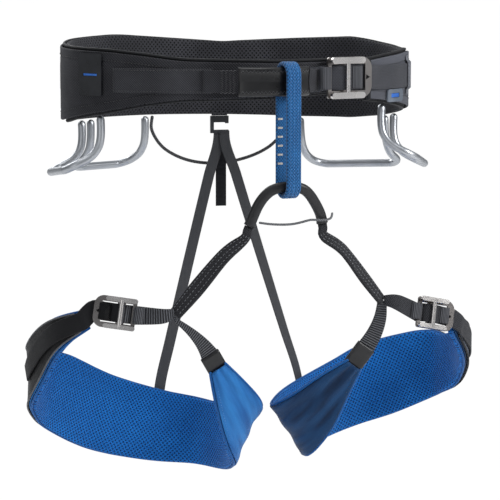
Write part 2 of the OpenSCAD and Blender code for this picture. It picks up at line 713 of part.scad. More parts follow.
// From the front of the junction through the buckle and down onto the pad's cover
module leg_strap(side) {
    junction = crown + (side == RIGHT ? RIGHT_JUNCTION : LEFT_JUNCTION);
    f = leg_frame(side);
    up = f[2] * sign(f[2].z);
    route = threaded_rows(f, LEG_SHORT, LEG_LONG, leg_web_w);
    threaded = [for (r = route) concat(xyz(r), up, [leg_web_w])];
    sewn = lifted([for (i = [0 : 3 * PAD_STEPS]) pad_rows(side)[i]], side * over_strap, leg_web_w);
    start = [
        concat(junction + [-side * 1.6, -0.8, 0.5], [-side * 0.4, -0.3, 0.85], [leg_web_w - 7]),
        concat(junction + [-side * 12, -3, -1], [-side * 0.2, 0, 1], [leg_web_w - 3])];
    lead = smooth(concat(start, threaded, [sewn[0]]), 3);
    color("#2e3136") band(concat(lead, [for (i = [1 : len(sewn) - 1]) sewn[i]]), web_thick);
}

// Elastic risers from the hook down to the backs of the leg pads, sewn on below the pads' edges
RIGHT_RISER_STATION = 7 * PAD_STEPS;
LEFT_RISER_STATION = 8 * PAD_STEPS + 1;
RISER_LAP = 18;
// How far a riser's middle stands out from a straight line
riser_bow = 2;
over_riser = over_shell + leg_shell_thick / 2 + twist_gap + riser_thick / 2;
// Place on the pad's outer face at a row, so far down from the upper edge
function riser_seat(side, i, down) =
    let (rows = pad_rows(side), out = lifted(rows, side * over_riser),
        up = square_to(width_way(rows[i]), heading(rows, i)))
    xyz(out[i]) + (rows[i][6] / 2 - down) * up;
module riser(side) {
    i = side == RIGHT ? RIGHT_RISER_STATION : LEFT_RISER_STATION;
    edge = riser_seat(side, i, 0);
    up = unit(edge - riser_seat(side, i, RISER_LAP));
    edge_way = unit(riser_seat(side, i + 1, 0) - riser_seat(side, i - 1, 0));
    low_way = unit(riser_seat(side, i + 1, RISER_LAP) - riser_seat(side, i - 1, RISER_LAP));
    top = riser_top + [2 - side * riser_w / 4, side * (riser_thick + gap) / 2, 0];
    slant = [1, 0, -side * riser_slant];
    above = edge + 5 * up + [0, 1.5, 0];
    hanging = [for (k = [0 : 6]) let (s = k / 6)
        concat((1 - s) * top + s * above + [0, 4 * riser_bow * s * (1 - s), 0],
            (1 - s) * slant + s * side * edge_way, [riser_w])];
    lapped = [for (k = [0 : 2])
        concat(edge - RISER_LAP * k / 2 * up,
            side * ((1 - k / 2) * edge_way + k / 2 * low_way), [riser_w])];
    color("#3a3c40") band(concat(hanging, lapped), riser_thick);
}

// One name for each leg piece
module riser_right() { riser(RIGHT); }
module riser_left() { riser(LEFT); }
module leg_webbing_right() { leg_webbing(RIGHT); }
module leg_webbing_left() { leg_webbing(LEFT); }
module leg_drop_webbing_right() { leg_drop_webbing(RIGHT); }
module leg_drop_webbing_left() { leg_drop_webbing(LEFT); }
module leg_tab_right() { leg_tab(RIGHT); }
module leg_tab_left() { leg_tab(LEFT); }
module leg_pad_right() { leg_pad(RIGHT); }
module leg_pad_left() { leg_pad(LEFT); }
module leg_shell_right() { leg_shell(RIGHT); }
module leg_shell_left() { leg_shell(LEFT); }
module leg_strap_right() { leg_strap(RIGHT); }
module leg_strap_left() { leg_strap(LEFT); }
module leg_cover_right() { leg_cover(RIGHT); }
module leg_cover_left() { leg_cover(LEFT); }
module leg_buckle_plate_right() { leg_buckle_plate(RIGHT); }
module leg_buckle_plate_left() { leg_buckle_plate(LEFT); }
module leg_buckle_slider_right() { leg_buckle_slider(RIGHT); }
module leg_buckle_slider_left() { leg_buckle_slider(LEFT); }

waist_liner();
waist_shell();
waist_webbing();
waist_strap();
strap_keeper();
tie_in_loop();
tie_in_sleeve();
belay_loop();
belay_loop_stitching();
waist_buckle_plate();
waist_buckle_slider();
clipper_patch_right();
clipper_insert_right();
clipper_frame_left();
clipper_insert_left();
gear_loop_front_right();
gear_loop_rear_right();
gear_loop_front_left();
gear_loop_rear_left();
haul_loop();
riser_anchor();
riser_hook();
riser_tail();
riser_right();
riser_left();
bridge_webbing();
bridge_sleeve();
bridge_keeper_cord();
leg_webbing_right();
leg_webbing_left();
leg_drop_webbing_right();
leg_drop_webbing_left();
leg_tab_right();
leg_tab_left();
leg_pad_right();
leg_pad_left();
leg_shell_right();
leg_shell_left();
leg_strap_right();
leg_strap_left();
leg_cover_right();
leg_cover_left();
leg_buckle_plate_right();
leg_buckle_plate_left();
leg_buckle_slider_right();
leg_buckle_slider_left();
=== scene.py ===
"""Looks of the climbing harness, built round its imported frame: padded fabric, webbing, stitching,
metal, plastic, light and camera. Lengths are in metres."""

import json
import math

import bmesh
import bpy
import numpy as np
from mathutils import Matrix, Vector


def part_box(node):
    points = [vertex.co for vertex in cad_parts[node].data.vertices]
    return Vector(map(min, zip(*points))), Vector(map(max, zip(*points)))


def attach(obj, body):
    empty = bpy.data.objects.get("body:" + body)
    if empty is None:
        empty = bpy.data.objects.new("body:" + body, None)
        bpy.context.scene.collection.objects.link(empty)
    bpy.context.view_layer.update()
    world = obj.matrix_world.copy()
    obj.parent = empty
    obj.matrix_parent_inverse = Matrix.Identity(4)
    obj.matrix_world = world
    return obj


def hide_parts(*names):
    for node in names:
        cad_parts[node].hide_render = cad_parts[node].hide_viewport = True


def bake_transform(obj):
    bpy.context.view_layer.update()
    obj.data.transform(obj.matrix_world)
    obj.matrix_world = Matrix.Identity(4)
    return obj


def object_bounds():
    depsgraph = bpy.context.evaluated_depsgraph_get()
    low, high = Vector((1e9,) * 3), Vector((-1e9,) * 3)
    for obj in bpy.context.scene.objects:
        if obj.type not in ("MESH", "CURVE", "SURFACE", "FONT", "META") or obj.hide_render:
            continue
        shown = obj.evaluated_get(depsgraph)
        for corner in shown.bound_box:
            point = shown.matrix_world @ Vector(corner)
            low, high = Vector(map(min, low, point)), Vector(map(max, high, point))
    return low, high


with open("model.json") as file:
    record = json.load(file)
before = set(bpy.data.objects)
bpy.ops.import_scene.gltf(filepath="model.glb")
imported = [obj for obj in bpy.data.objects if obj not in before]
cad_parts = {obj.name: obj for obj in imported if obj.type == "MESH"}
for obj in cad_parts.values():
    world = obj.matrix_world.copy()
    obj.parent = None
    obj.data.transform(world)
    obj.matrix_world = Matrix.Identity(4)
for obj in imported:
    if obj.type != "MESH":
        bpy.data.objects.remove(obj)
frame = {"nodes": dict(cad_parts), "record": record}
cad_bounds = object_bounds()
MM = 0.001
SIDES = ("right", "left")
EDGES = (("top", 1), ("bottom", -1))


# ---- Camera ----

AZIMUTH, ELEVATION, DISTANCE = -14.0, 7.0, 2.2
TARGET = Vector((0.0075, -0.0207, -0.1485))
LENS, SENSOR = 180, 36


def make_camera():
    a, e = math.radians(AZIMUTH), math.radians(ELEVATION)
    back = Vector((math.sin(a) * math.cos(e), -math.cos(a) * math.cos(e), math.sin(e)))
    data = bpy.data.cameras.new("camera")
    data.lens, data.sensor_width = LENS, SENSOR
    data.clip_end = 100
    camera = bpy.data.objects.new("camera", data)
    camera.location = TARGET + back * DISTANCE
    camera.rotation_euler = (-back).to_track_quat("-Z", "Y").to_euler()
    bpy.context.collection.objects.link(camera)
    bpy.context.scene.camera = camera


make_camera()


# ---- Bands: centre line, width and normal of a strip, read from a CAD node's rings ----

def unit(v):
    return v / np.maximum(np.linalg.norm(v, axis=-1, keepdims=True), 1e-12)


def distances(points):
    """How far each point lies along the line through all of them."""
    return np.concatenate([[0], np.cumsum(np.linalg.norm(np.diff(points, axis=0), axis=1))])


def curve_through(rows, s, at):
    """A smooth curve through rows that lie at distances s, read at other distances."""
    slope = np.gradient(rows, s, axis=0)
    i = np.clip(np.searchsorted(s, at, side="right") - 1, 0, len(s) - 2)
    h = (s[i + 1] - s[i])[:, None]
    u = (at - s[i])[:, None] / h
    return ((2 * u**3 - 3 * u**2 + 1) * rows[i] + (u**3 - 2 * u**2 + u) * h * slope[i]
            + (3 * u**2 - 2 * u**3) * rows[i + 1] + (u**3 - u**2) * h * slope[i + 1])


# A swept node's rings have so many points. Faces whose normals agree this well belong to one end.
RING_SIZES = (8, 12)
SAME_END = 0.998


def node_rings(node):
    """The rings of a swept CAD node, in order: a list of arrays of points."""
    welded = bmesh.new()
    welded.from_mesh(frame["nodes"][node].data)
    bmesh.ops.remove_doubles(welded, verts=welded.verts, dist=1e-6)
    welded.verts.ensure_lookup_table()
    welded.faces.ensure_lookup_table()
    found = None
    seen = set()
    for face in welded.faces:
        if face.index in seen:
            continue
        region, queue = {face}, [face]
        while queue:
            for edge in queue.pop().edges:
                for other in edge.link_faces:
                    if other not in region and other.normal.dot(face.normal) > SAME_END:
                        region.add(other)
                        queue.append(other)
        seen |= {f.index for f in region}
        ring = {v for f in region for v in f.verts}
        if len(ring) not in RING_SIZES:
            continue
        rings, done = [ring], set(ring)
        while True:
            after = {e.other_vert(v) for v in rings[-1] for e in v.link_edges} - done
            if not after:
                break
            rings.append(after)
            done |= after
        if all(len(r) == len(ring) for r in rings) and len(done) == len(welded.verts):
            found = [np.array([v.co[:] for v in r]) for r in rings]
            break
    welded.free()
    if found is None:
        raise RuntimeError(f"{node} isn't a simple swept band")
    return found


class Band:
    """A strip: points c, width directions w, normals n, half widths a and half thicknesses b."""

    def __init__(self, c, w, n, a, b):
        self.c, self.w, self.n, self.a, self.b = c, w, n, a, b
        self.s = distances(c)
        self.t = unit(np.gradient(c, axis=0))

    @property
    def length(self):
        return self.s[-1]

    def at(self, s):
        """Centre, width direction, normal and travel direction at a distance along the band."""
        pick = lambda rows: np.array([np.interp(s, self.s, rows[:, k]) for k in range(3)])
        return pick(self.c), unit(pick(self.w)), unit(pick(self.n)), unit(pick(self.t))

    def point(self, s, across=0.0, lift=0.0):
        """A point so far along, across and out from the middle of the band's outer face."""
        c, w, n, _ = self.at(s)
        return c + across * w + (np.interp(s, self.s, self.b) + lift) * n

    def half_width(self, s):
        return float(np.interp(s, self.s, self.a))

    def finer(self, step):
        """The same band with rows so far apart, on a smooth curve through its rows."""
        count = max(int(self.length / step), 2)
        s = np.linspace(0, self.length, count + 1)
        rows = np.hstack([self.c, self.w, self.n, self.a[:, None], self.b[:, None]])
        out = curve_through(rows, self.s, s)
        return Band(out[:, :3], unit(out[:, 3:6]), unit(out[:, 6:9]), out[:, 9], out[:, 10])

    def part(self, start, end):
        """The stretch from one distance to another."""
        inner = [s for s in self.s if start + 1e-5 < s < end - 1e-5]
        s = np.array([start, *inner, end])
        rows = [self.at(v) for v in s]
        return Band(np.array([r[0] for r in rows]), np.array([r[1] for r in rows]),
                    np.array([r[2] for r in rows]), np.interp(s, self.s, self.a),
                    np.interp(s, self.s, self.b))

    def led_from(self, point, half):
        """The band carried back to a point, where it is so wide."""
        first = lambda rows, row: np.concatenate([[row], rows])
        return Band(first(self.c, np.asarray(point)), first(self.w, self.w[0]), first(self.n, self.n[0]),
                    first(self.a, half), first(self.b, self.b[0]))


def read_band(node, first, out_from, upward=True):
    """A node's band. It starts at the end that lies furthest along the direction first, and its
    normals point away from out_from."""
    rings = node_rings(node)
    if rings[0].mean(axis=0) @ first < rings[-1].mean(axis=0) @ first:
        rings.reverse()
    c = np.array([r.mean(axis=0) for r in rings])
    w, n, a, b = [], [], [], []
    for k, ring in enumerate(rings):
        _, _, axes = np.linalg.svd(ring - c[k])
        wide, thin = axes[0], axes[1]
        if w:
            wide = wide * np.sign(wide @ w[-1])
        elif (wide[2] < 0) == upward:
            wide = -wide
        if n:
            thin = thin * np.sign(thin @ n[-1])
        elif thin @ (c[k] - out_from) < 0:
            thin = -thin
        w.append(wide)
        n.append(thin)
        a.append(np.ptp((ring - c[k]) @ wide) / 2)
        b.append(np.ptp((ring - c[k]) @ thin) / 2)
    return Band(c, np.array(w), np.array(n), np.array(a), np.array(b))


def tube_path(node):
    """Centre line of a round swept node, without the rings of its domed ends."""
    dome = 3
    return np.array([ring.mean(axis=0) for ring in node_rings(node)])[dome:-dome]


# ---- Meshes ----

def make(name, points, faces, material, body, uv=None):
    """A smooth-shaded piece that rides on a body."""
    mesh = bpy.data.meshes.new(name)
    mesh.from_pydata([tuple(p) for p in points], [], faces)
    mesh.polygons.foreach_set("use_smooth", [True] * len(mesh.polygons))
    if uv is not None:
        layer = mesh.uv_layers.new(name="UVMap")
        corner = np.empty(len(mesh.loops), dtype=np.int32)
        mesh.loops.foreach_get("vertex_index", corner)
        layer.data.foreach_set("uv", np.asarray(uv)[corner].ravel())
    mesh.update()
    piece = bpy.data.objects.new(name, mesh)
    bpy.context.collection.objects.link(piece)
    piece.data.materials.append(material)
    if body:
        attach(piece, body)
    return piece


def wrap(rings, per_ring):
    """Faces of a sweep through so many rings, with both ends closed."""
    faces = [(i * per_ring + j, i * per_ring + (j + 1) % per_ring,
              (i + 1) * per_ring + (j + 1) % per_ring, (i + 1) * per_ring + j)
             for i in range(rings - 1) for j in range(per_ring)]
    last = (rings - 1) * per_ring
    return [*faces, tuple(range(per_ring - 1, -1, -1)), tuple(range(last, last + per_ring))]


def sweep(name, band, across, out, material, body, around=None):
    """A closed skin along a band. across and out give each row's outline, and around is its second
    texture distance where that isn't the one across."""
    points = band.c[:, None] + across[..., None] * band.w[:, None] + out[..., None] * band.n[:, None]
    along = np.repeat(band.s[:, None], across.shape[1], axis=1)
    uv = np.stack([along, across if around is None else around], axis=-1)
    return make(name, points.reshape(-1, 3), wrap(*across.shape), material, body, uv.reshape(-1, 2))


def pad_section(count, across_power=7.0, crown_power=2.4):
    """A crowned closed outline from -1 to 1 both ways, thin at its edges."""
    turn = np.linspace(0, 2 * np.pi, count, endpoint=False) + np.pi / count
    x, y = np.cos(turn), np.sin(turn)
    return (np.sign(x) * np.abs(x) ** (2 / across_power), np.sign(y) * np.abs(y) ** (2 / crown_power))


def strap_section(inner=5):
    """A flat outline with round edges: across in half widths less the edge, edge offset, thickness."""
    flat = np.linspace(-1, 1, inner)
    bow = [math.radians(v) for v in (-60, -25, 25, 60)]
    x = [*flat, *[1] * 4, *flat[::-1], *[-1] * 4]
    edge = [*[0] * inner, *[math.cos(v) for v in bow], *[0] * inner, *[-math.cos(v) for v in bow[::-1]]]
    y = [*[-1] * inner, *[math.sin(v) for v in bow], *[1] * inner, *[math.sin(v) for v in bow[::-1]]]
    return np.array(x), np.array(edge), np.array(y)


def strap(name, band, material, body, swell=None, step=2.5 * MM, shape=5):
    """Flat webbing along a band. swell(s, x) lifts its outer face. With no step it keeps its rows."""
    if step:
        band = band.finer(step)
    x, edge, y = strap_section(shape)
    flat = band.a - band.b
    across = flat[:, None] * x[None] + band.b[:, None] * edge[None]
    out = band.b[:, None] * y[None]
    if swell:
        s = np.repeat(band.s[:, None], len(x), axis=1)
        out = out + swell(s, across / band.a[:, None]) * (y[None] > 0)
    return sweep(name, band, across, out, material, body)


def tube(name, path, radius, material, body, sides=10):
    """A round tube along points, with closed round ends."""
    path = np.asarray(path, dtype=float)
    t = unit(np.gradient(path, axis=0))
    n = np.array([0, 0.2, 1.0])
    ways = []
    for k in range(len(path)):
        n = unit(n - (n @ t[k]) * t[k])
        ways.append((n, np.cross(t[k], n)))
    # A domed end's rings: how far out and how wide, in radii
    dome = ((0.9, 0.35), (0.5, 0.85))
    rings = [(path[0] - radius * far * t[0], size, ways[0]) for far, size in dome]
    rings += [(point, 1.0, way) for point, way in zip(path, ways)]
    rings += [(path[-1] + radius * far * t[-1], size, ways[-1]) for far, size in reversed(dome)]
    along = distances([ring[0] for ring in rings])
    points, uv = [], []
    for (c, size, (n0, b0)), s in zip(rings, along):
        for k in range(sides):
            q = 2 * math.pi * k / sides
            points.append(c + radius * size * (math.cos(q) * n0 + math.sin(q) * b0))
            uv.append((s, abs(k / sides - 0.5) * 2 * math.pi * radius))
    return make(name, points, wrap(len(rings), sides), material, body, uv)


def smooth_path(points, step):
    """A finer smooth curve through points."""
    s = distances(points)
    return curve_through(points, s, np.linspace(0, s[-1], max(int(s[-1] / step), 2) + 1))


# ---- Materials ----

class Look:
    """A Principled material whose colour, bump and roughness come from nodes."""

    def __init__(self, name, roughness=0.7, metallic=0.0, sheen=0.0, coat=0.0, specular=0.5):
        self.material = bpy.data.materials.new(name)
        self.material.use_nodes = True
        self.nodes, self.links = self.material.node_tree.nodes, self.material.node_tree.links
        self.shader = self.nodes["Principled BSDF"]
        for socket, value in (("Roughness", roughness), ("Metallic", metallic), ("Sheen Weight", sheen),
                              ("Coat Weight", coat), ("Specular IOR Level", specular)):
            self.shader.inputs[socket].default_value = value
        self.heights = []

    def node(self, kind, inputs=(), **settings):
        made = self.nodes.new(kind)
        for key, value in settings.items():
            setattr(made, key, value)
        for key, value in dict(inputs).items():
            if isinstance(value, bpy.types.NodeSocket):
                self.links.new(value, made.inputs[key])
            else:
                made.inputs[key].default_value = value
        return made

    def math(self, operation, a, b=0.0, c=0.0):
        return self.node("ShaderNodeMath", {0: a, 1: b, 2: c}, operation=operation).outputs[0]

    def uv(self):
        """Distance along and across the strip, in metres, as two sockets."""
        split = self.node("ShaderNodeSeparateXYZ", {0: self.node("ShaderNodeUVMap").outputs[0]})
        return split.outputs[0], split.outputs[1]

    def place(self):
        return self.node("ShaderNodeTexCoord").outputs["Object"]

    def noise(self, scale, detail=3.0, stretch=None, vector=None):
        vector = vector or self.place()
        if stretch:
            scaled = self.node("ShaderNodeVectorMath", {0: vector, 1: stretch}, operation="MULTIPLY")
            vector = scaled.outputs[0]
        inputs = {"Vector": vector, "Scale": scale, "Detail": detail}
        return self.node("ShaderNodeTexNoise", inputs).outputs["Fac"]

    def wave(self, along, pitch):
        """A sine from 0 to 1 with a pitch in metres."""
        turn = self.math("MULTIPLY", along, 2 * math.pi / pitch)
        return self.math("MULTIPLY_ADD", self.math("SINE", turn), 0.5, 0.5)

    def spread(self, value, low, high, to_low=0.0, to_high=1.0):
        return self.node("ShaderNodeMapRange", {0: value, 1: low, 2: high, 3: to_low, 4: to_high},
                         interpolation_type="SMOOTHSTEP").outputs[0]

    def holes(self, pitch, rows, radius, edge=0.12):
        """1 inside staggered round holes, 0 between them."""
        u, v = self.uv()
        nearest = None
        for shift in (0.0, 0.5):
            a = self.math("MULTIPLY", self.math("SUBTRACT", self.math(
                "FRACT", self.math("MULTIPLY_ADD", u, 1 / pitch, shift)), 0.5), pitch / rows)
            b = self.math("SUBTRACT", self.math("FRACT", self.math("MULTIPLY_ADD", v, 1 / rows, shift)), 0.5)
            far = self.math("SQRT", self.math("ADD", *[self.math("MULTIPLY", d, d) for d in (a, b)]))
            nearest = far if nearest is None else self.math("MINIMUM", nearest, far)
        return self.spread(nearest, radius / rows, radius / rows + edge, 1.0, 0.0)

    def mix(self, factor, dark, light):
        """A colour between two, which are sockets or three numbers each."""
        first, second = [v if isinstance(v, bpy.types.NodeSocket) else (*v, 1) for v in (dark, light)]
        return self.node("ShaderNodeMix", {0: factor, 6: first, 7: second}, data_type="RGBA").outputs[2]

    def height(self, value, far):
        """Adds a bump of so many metres."""
        self.heights.append((value, far))
        return self

    def finish(self, colour, roughness=None):
        self.links.new(colour, self.shader.inputs["Base Color"])
        if roughness is not None:
            self.links.new(roughness, self.shader.inputs["Roughness"])
        normal = None
        for value, far in self.heights:
            bump = self.node("ShaderNodeBump", {"Height": value, "Distance": far, "Strength": 1.0})
            if normal is not None:
                self.links.new(normal, bump.inputs["Normal"])
            normal = bump.outputs[0]
        if normal is not None:
            self.links.new(normal, self.shader.inputs["Normal"])
        return self.material


def perforated(name, dark, light, hole):
    """Spacer mesh: staggered dark holes in a fine knit."""
    look = Look(name, roughness=0.85, sheen=0.1, specular=0.12)
    u, v = look.uv()
    holes = look.holes(3.8 * MM, 4.1 * MM, 0.40 * MM, 0.18)
    knit = look.math("MULTIPLY", look.wave(u, 0.75 * MM), look.wave(v, 0.6 * MM))
    patches = look.spread(look.noise(26), 0.35, 0.7)
    tone = look.math("MULTIPLY_ADD", knit, 0.3, look.math("MULTIPLY_ADD", patches, 0.4, 0.2))
    base = look.mix(tone, dark, light)
    look.height(look.math("SUBTRACT", 1.0, holes), 0.5 * MM).height(knit, 0.1 * MM)
    return look.finish(look.mix(holes, base, hole))


def twill(name, dark, light, pitch=2.4 * MM, sheen=0.06, roughness=0.7, painted_light_wing=None):
    """Smooth woven face fabric with fine diagonal lines and soft creases. Over its first 80 mm it can
    turn lighter, up to a crisp line: painted light on the end of the belt that the key light falls on."""
    look = Look(name, roughness=roughness, sheen=sheen, specular=0.15)
    u, v = look.uv()
    slant = look.wave(look.math("ADD", u, v), pitch)
    cross = look.wave(look.math("SUBTRACT", u, v), pitch)
    thread = look.math("MULTIPLY", slant, look.math("MULTIPLY_ADD", cross, 0.6, 0.4))
    worn = look.spread(look.noise(18, 4), 0.3, 0.75)
    tone = look.math("MULTIPLY_ADD", thread, 0.65, look.math("MULTIPLY", worn, 0.3))
    base = look.mix(tone, dark, light)
    if painted_light_wing:
        # Painted light: the first 80 mm take a lighter colour for the lit end of the belt
        base = look.mix(look.spread(u, 79 * MM, 80 * MM), look.mix(tone, light, painted_light_wing), base)
    look.height(thread, 0.2 * MM).height(look.noise(34, 2, (1, 1, 2.4)), 1.1 * MM)
    return look.finish(base)


def satin(name, dark, light, crease):
    """Stretch fabric of the leg pads' outer faces, with long soft creases, painted darker in their
    hollows and lighter on their crowns.
    """
    look = Look(name, roughness=0.6, sheen=0.08, specular=0.2)
    u, v = look.uv()
    thread = look.math("MULTIPLY", look.wave(look.math("ADD", u, v), 0.7 * MM), look.wave(v, 0.7 * MM))
    drawn_out = {0: look.math("MULTIPLY", u, 9.0), 1: look.math("MULTIPLY", v, 60.0)}
    stretched = look.node("ShaderNodeCombineXYZ", drawn_out)
    folds = look.noise(1.6, 2, vector=stretched.outputs[0])
    # Painted shade and light: the colour follows the folds, dark in the crease hollows and light on their
    # crowns
    tone = look.math("MULTIPLY_ADD", thread, 0.25, look.math("MULTIPLY", look.spread(folds, 0.3, 0.7), 0.7))
    look.height(thread, 0.07 * MM).height(folds, crease)
    return look.finish(look.mix(tone, dark, light))


def webbing(name, dark, light, rib, depth=0.3 * MM, sheen=0.08):
    """Woven tape: crosswise ribs of small stitches, with finer threads lengthwise."""
    look = Look(name, roughness=0.65, sheen=sheen, specular=0.2)
    u, v = look.uv()
    column = 1.25 * MM
    columns = look.wave(v, column)
    shift = look.math("MULTIPLY", look.math("ROUND", look.math("MULTIPLY", v, 1 / column)), math.pi)
    turn = look.math("ADD", look.math("MULTIPLY", u, 2 * math.pi / rib), shift)
    stitch = look.math("MULTIPLY_ADD", look.math("SINE", turn), 0.5, 0.5)
    weave = look.math("MULTIPLY", stitch, look.math("MULTIPLY_ADD", columns, 0.5, 0.5))
    tone = look.math("MULTIPLY_ADD", weave, 0.7, look.math("MULTIPLY", look.noise(60, 3), 0.35))
    look.height(weave, depth)
    return look.finish(look.mix(tone, dark, light))


def ribbed(name, dark, light, pitch, depth, plain=None):
    """Tape with bold crosswise ribs. Past the distance in plain it is smooth and of the colour there."""
    look = Look(name, roughness=0.6, sheen=0.06, specular=0.2)
    u, v = look.uv()
    rib = look.wave(u, pitch)
    fine = look.wave(v, 0.6 * MM)
    tone = look.math("MULTIPLY_ADD", look.spread(rib, 0.25, 0.85), 0.8, look.math("MULTIPLY", fine, 0.2))
    base = look.mix(tone, dark, light)
    if plain:
        far, colour = plain
        past = look.spread(u, far, far + 4 * MM)
        base = look.mix(past, base, look.mix(look.noise(50), colour, tuple(2.2 * c for c in colour)))
        rib = look.math("MULTIPLY", rib, look.math("SUBTRACT", 1.0, past))
    look.height(rib, depth).height(fine, 0.06 * MM)
    return look.finish(base)


def thread(name, colour):
    look = Look(name, roughness=0.6, sheen=0.3)
    shade = tuple(0.55 * c for c in colour)
    return look.finish(look.mix(look.spread(look.noise(900, 2), 0.3, 0.7), shade, colour))


def metal(name, dark, light, roughness):
    """Plated steel with faint brushing and handling marks."""
    look = Look(name, roughness=roughness, metallic=1.0)
    brushed = look.noise(420, 4, (1, 0.12, 0.12))
    marks = look.spread(look.noise(24, 2), 0.3, 0.7)
    rough = look.math("MULTIPLY_ADD", marks, 0.06, roughness)
    tone = look.math("MULTIPLY_ADD", brushed, 0.12, look.math("MULTIPLY_ADD", marks, 0.5, 0.2))
    return look.finish(look.mix(tone, dark, light), rough)


def plastic(name, dark, light, roughness=0.4, grain=0.03 * MM, coat=0.0, scale=500):
    """Moulded plastic with a fine grain."""
    look = Look(name, roughness=roughness, coat=coat)
    grains = look.noise(scale, 3)
    worn = look.spread(look.noise(45, 4), 0.35, 0.7)
    look.height(grains, grain)
    rough = look.math("MULTIPLY_ADD", worn, 0.12, roughness - 0.04)
    tone = look.math("MULTIPLY_ADD", grains, 0.3, look.math("MULTIPLY", worn, 0.6))
    return look.finish(look.mix(tone, dark, light), rough)


def braid(name, dark, light, radius, pitch):
    """Braided sheath: two sets of strands that wind opposite ways."""
    look = Look(name, roughness=0.6, sheen=0.3)
    u, v = look.uv()
    around = look.math("MULTIPLY", v, 3 / radius)
    one = look.math("SINE", look.math("ADD", look.math("MULTIPLY", u, 2 * math.pi / pitch), around))
    two = look.math("SINE", look.math("SUBTRACT", look.math("MULTIPLY", u, 2 * math.pi / pitch), around))
    strands = look.math("MULTIPLY_ADD", look.math("MAXIMUM", one, two), 0.5, 0.5)
    look.height(strands, 0.35 * MM)
    return look.finish(look.mix(look.spread(strands, 0.3, 1.0), dark, light))


BLACK_MESH = perforated("black_mesh", (0.020, 0.020, 0.024), (0.060, 0.061, 0.070), (0.001, 0.001, 0.001))
BLUE_MESH = perforated("blue_mesh", (0.006, 0.115, 0.42), (0.014, 0.21, 0.68), (0.002, 0.032, 0.13))
# The shell's third colour is painted light on the belt's lit end
SHELL_TWILL = twill("shell_twill", (0.006, 0.006, 0.008), (0.075, 0.076, 0.086), painted_light_wing=(0.12, 0.13, 0.16))
BELT_WEB = twill("belt_webbing", (0.010, 0.010, 0.012), (0.095, 0.097, 0.11), pitch=2.0 * MM)
STRAP_WEB = webbing("strap_webbing", (0.012, 0.012, 0.015), (0.11, 0.115, 0.135), 1.3 * MM)
SLEEVE_COAT = plastic("sleeve_coating", (0.003, 0.003, 0.004), (0.009, 0.009, 0.010), 0.3, coat=0.15,
                      scale=260)
BRIDGE_COAT = plastic("bridge_coating", (0.006, 0.006, 0.007), (0.018, 0.018, 0.021), 0.42,
                      grain=0.1 * MM, scale=330)
LEG_WEB = webbing("leg_webbing", (0.003, 0.003, 0.004), (0.05, 0.051, 0.058), 1.8 * MM, 0.4 * MM)
LEG_STRAPS = {
    "left": webbing("leg_strap_webbing", (0.004, 0.004, 0.005), (0.075, 0.078, 0.09), 1.8 * MM, 0.4 * MM),
    "right": ribbed("leg_strap_right", (0.003, 0.003, 0.004), (0.12, 0.125, 0.14), 2.1 * MM, 0.6 * MM,
                    plain=(48 * MM, (0.005, 0.005, 0.006)))}
FOLDED_WEB = ribbed("folded_webbing", (0.012, 0.012, 0.015), (0.13, 0.135, 0.15), 1.3 * MM, 0.25 * MM)
RIBBED_WEB = ribbed("ribbed_webbing", (0.003, 0.003, 0.004), (0.13, 0.135, 0.15), 2.1 * MM, 0.6 * MM)
ELASTIC = ribbed("elastic", (0.034, 0.035, 0.038), (0.085, 0.087, 0.094), 0.9 * MM, 0.1 * MM)
PALE_ELASTIC = ribbed("pale_elastic", (0.08, 0.085, 0.10), (0.24, 0.25, 0.28), 1.2 * MM, 0.2 * MM)
TAIL_WEB = ribbed("tail_webbing", (0.008, 0.008, 0.010), (0.025, 0.026, 0.030), 1.2 * MM, 0.15 * MM)
BELAY_WEB = webbing("belay_webbing", (0.001, 0.016, 0.07), (0.026, 0.235, 0.62), 3.0 * MM, 0.7 * MM, 0.2)
SATIN_BLUE = satin("satin_blue", (0.007, 0.095, 0.33), (0.035, 0.26, 0.68), 1.8 * MM)
# A darker copy of the blue satin: painted shade for the left leg's face
SATIN_BLUE_PAINTED_SHADE = satin("satin_blue_painted_shade", (0.002, 0.015, 0.05), (0.009, 0.070, 0.20), 2.0 * MM)
COVER_BLACK = twill("cover_black", (0.002, 0.002, 0.0025), (0.009, 0.009, 0.011), pitch=1.6 * MM, sheen=0.05,
                    roughness=0.42)
COVER_GREY = twill("cover_grey", (0.05, 0.06, 0.08), (0.17, 0.19, 0.24), pitch=0.9 * MM)
TAB_COAT = plastic("tab_coating", (0.005, 0.005, 0.006), (0.016, 0.016, 0.018), 0.4, coat=0.1, scale=260)
NICKEL = metal("dark_nickel", (0.20, 0.185, 0.18), (0.36, 0.34, 0.33), 0.24)
BRIGHT_STEEL = metal("bright_steel", (0.66, 0.63, 0.61), (0.88, 0.85, 0.83), 0.22)
SILVER_TUBE = metal("silver_tube", (0.40, 0.42, 0.45), (0.60, 0.62, 0.65), 0.34)
DARK_PLASTIC = plastic("dark_plastic", (0.016, 0.017, 0.020), (0.045, 0.047, 0.053), 0.38)
PATCH_PLASTIC = plastic("patch_plastic", (0.004, 0.0045, 0.006), (0.014, 0.015, 0.019), 0.28, coat=0.3,
                        scale=300)
GREY_PLASTIC = plastic("grey_plastic", (0.10, 0.12, 0.15), (0.22, 0.25, 0.30), 0.35, coat=0.2)
BLUE_PLASTIC = plastic("blue_plastic", (0.02, 0.11, 0.45), (0.05, 0.22, 0.75), 0.4)
BLACK_CORD = braid("black_cord", (0.006, 0.006, 0.007), (0.05, 0.05, 0.055), 1.5 * MM, 3.0 * MM)
GREY_CORD = braid("grey_cord", (0.03, 0.032, 0.036), (0.16, 0.165, 0.18), 1.0 * MM, 2.2 * MM)
BLACK_THREAD = thread("black_thread", (0.012, 0.012, 0.014))
DIM_THREAD = thread("dim_thread", (0.07, 0.07, 0.08))
GREY_THREAD = thread("grey_thread", (0.22, 0.23, 0.25))
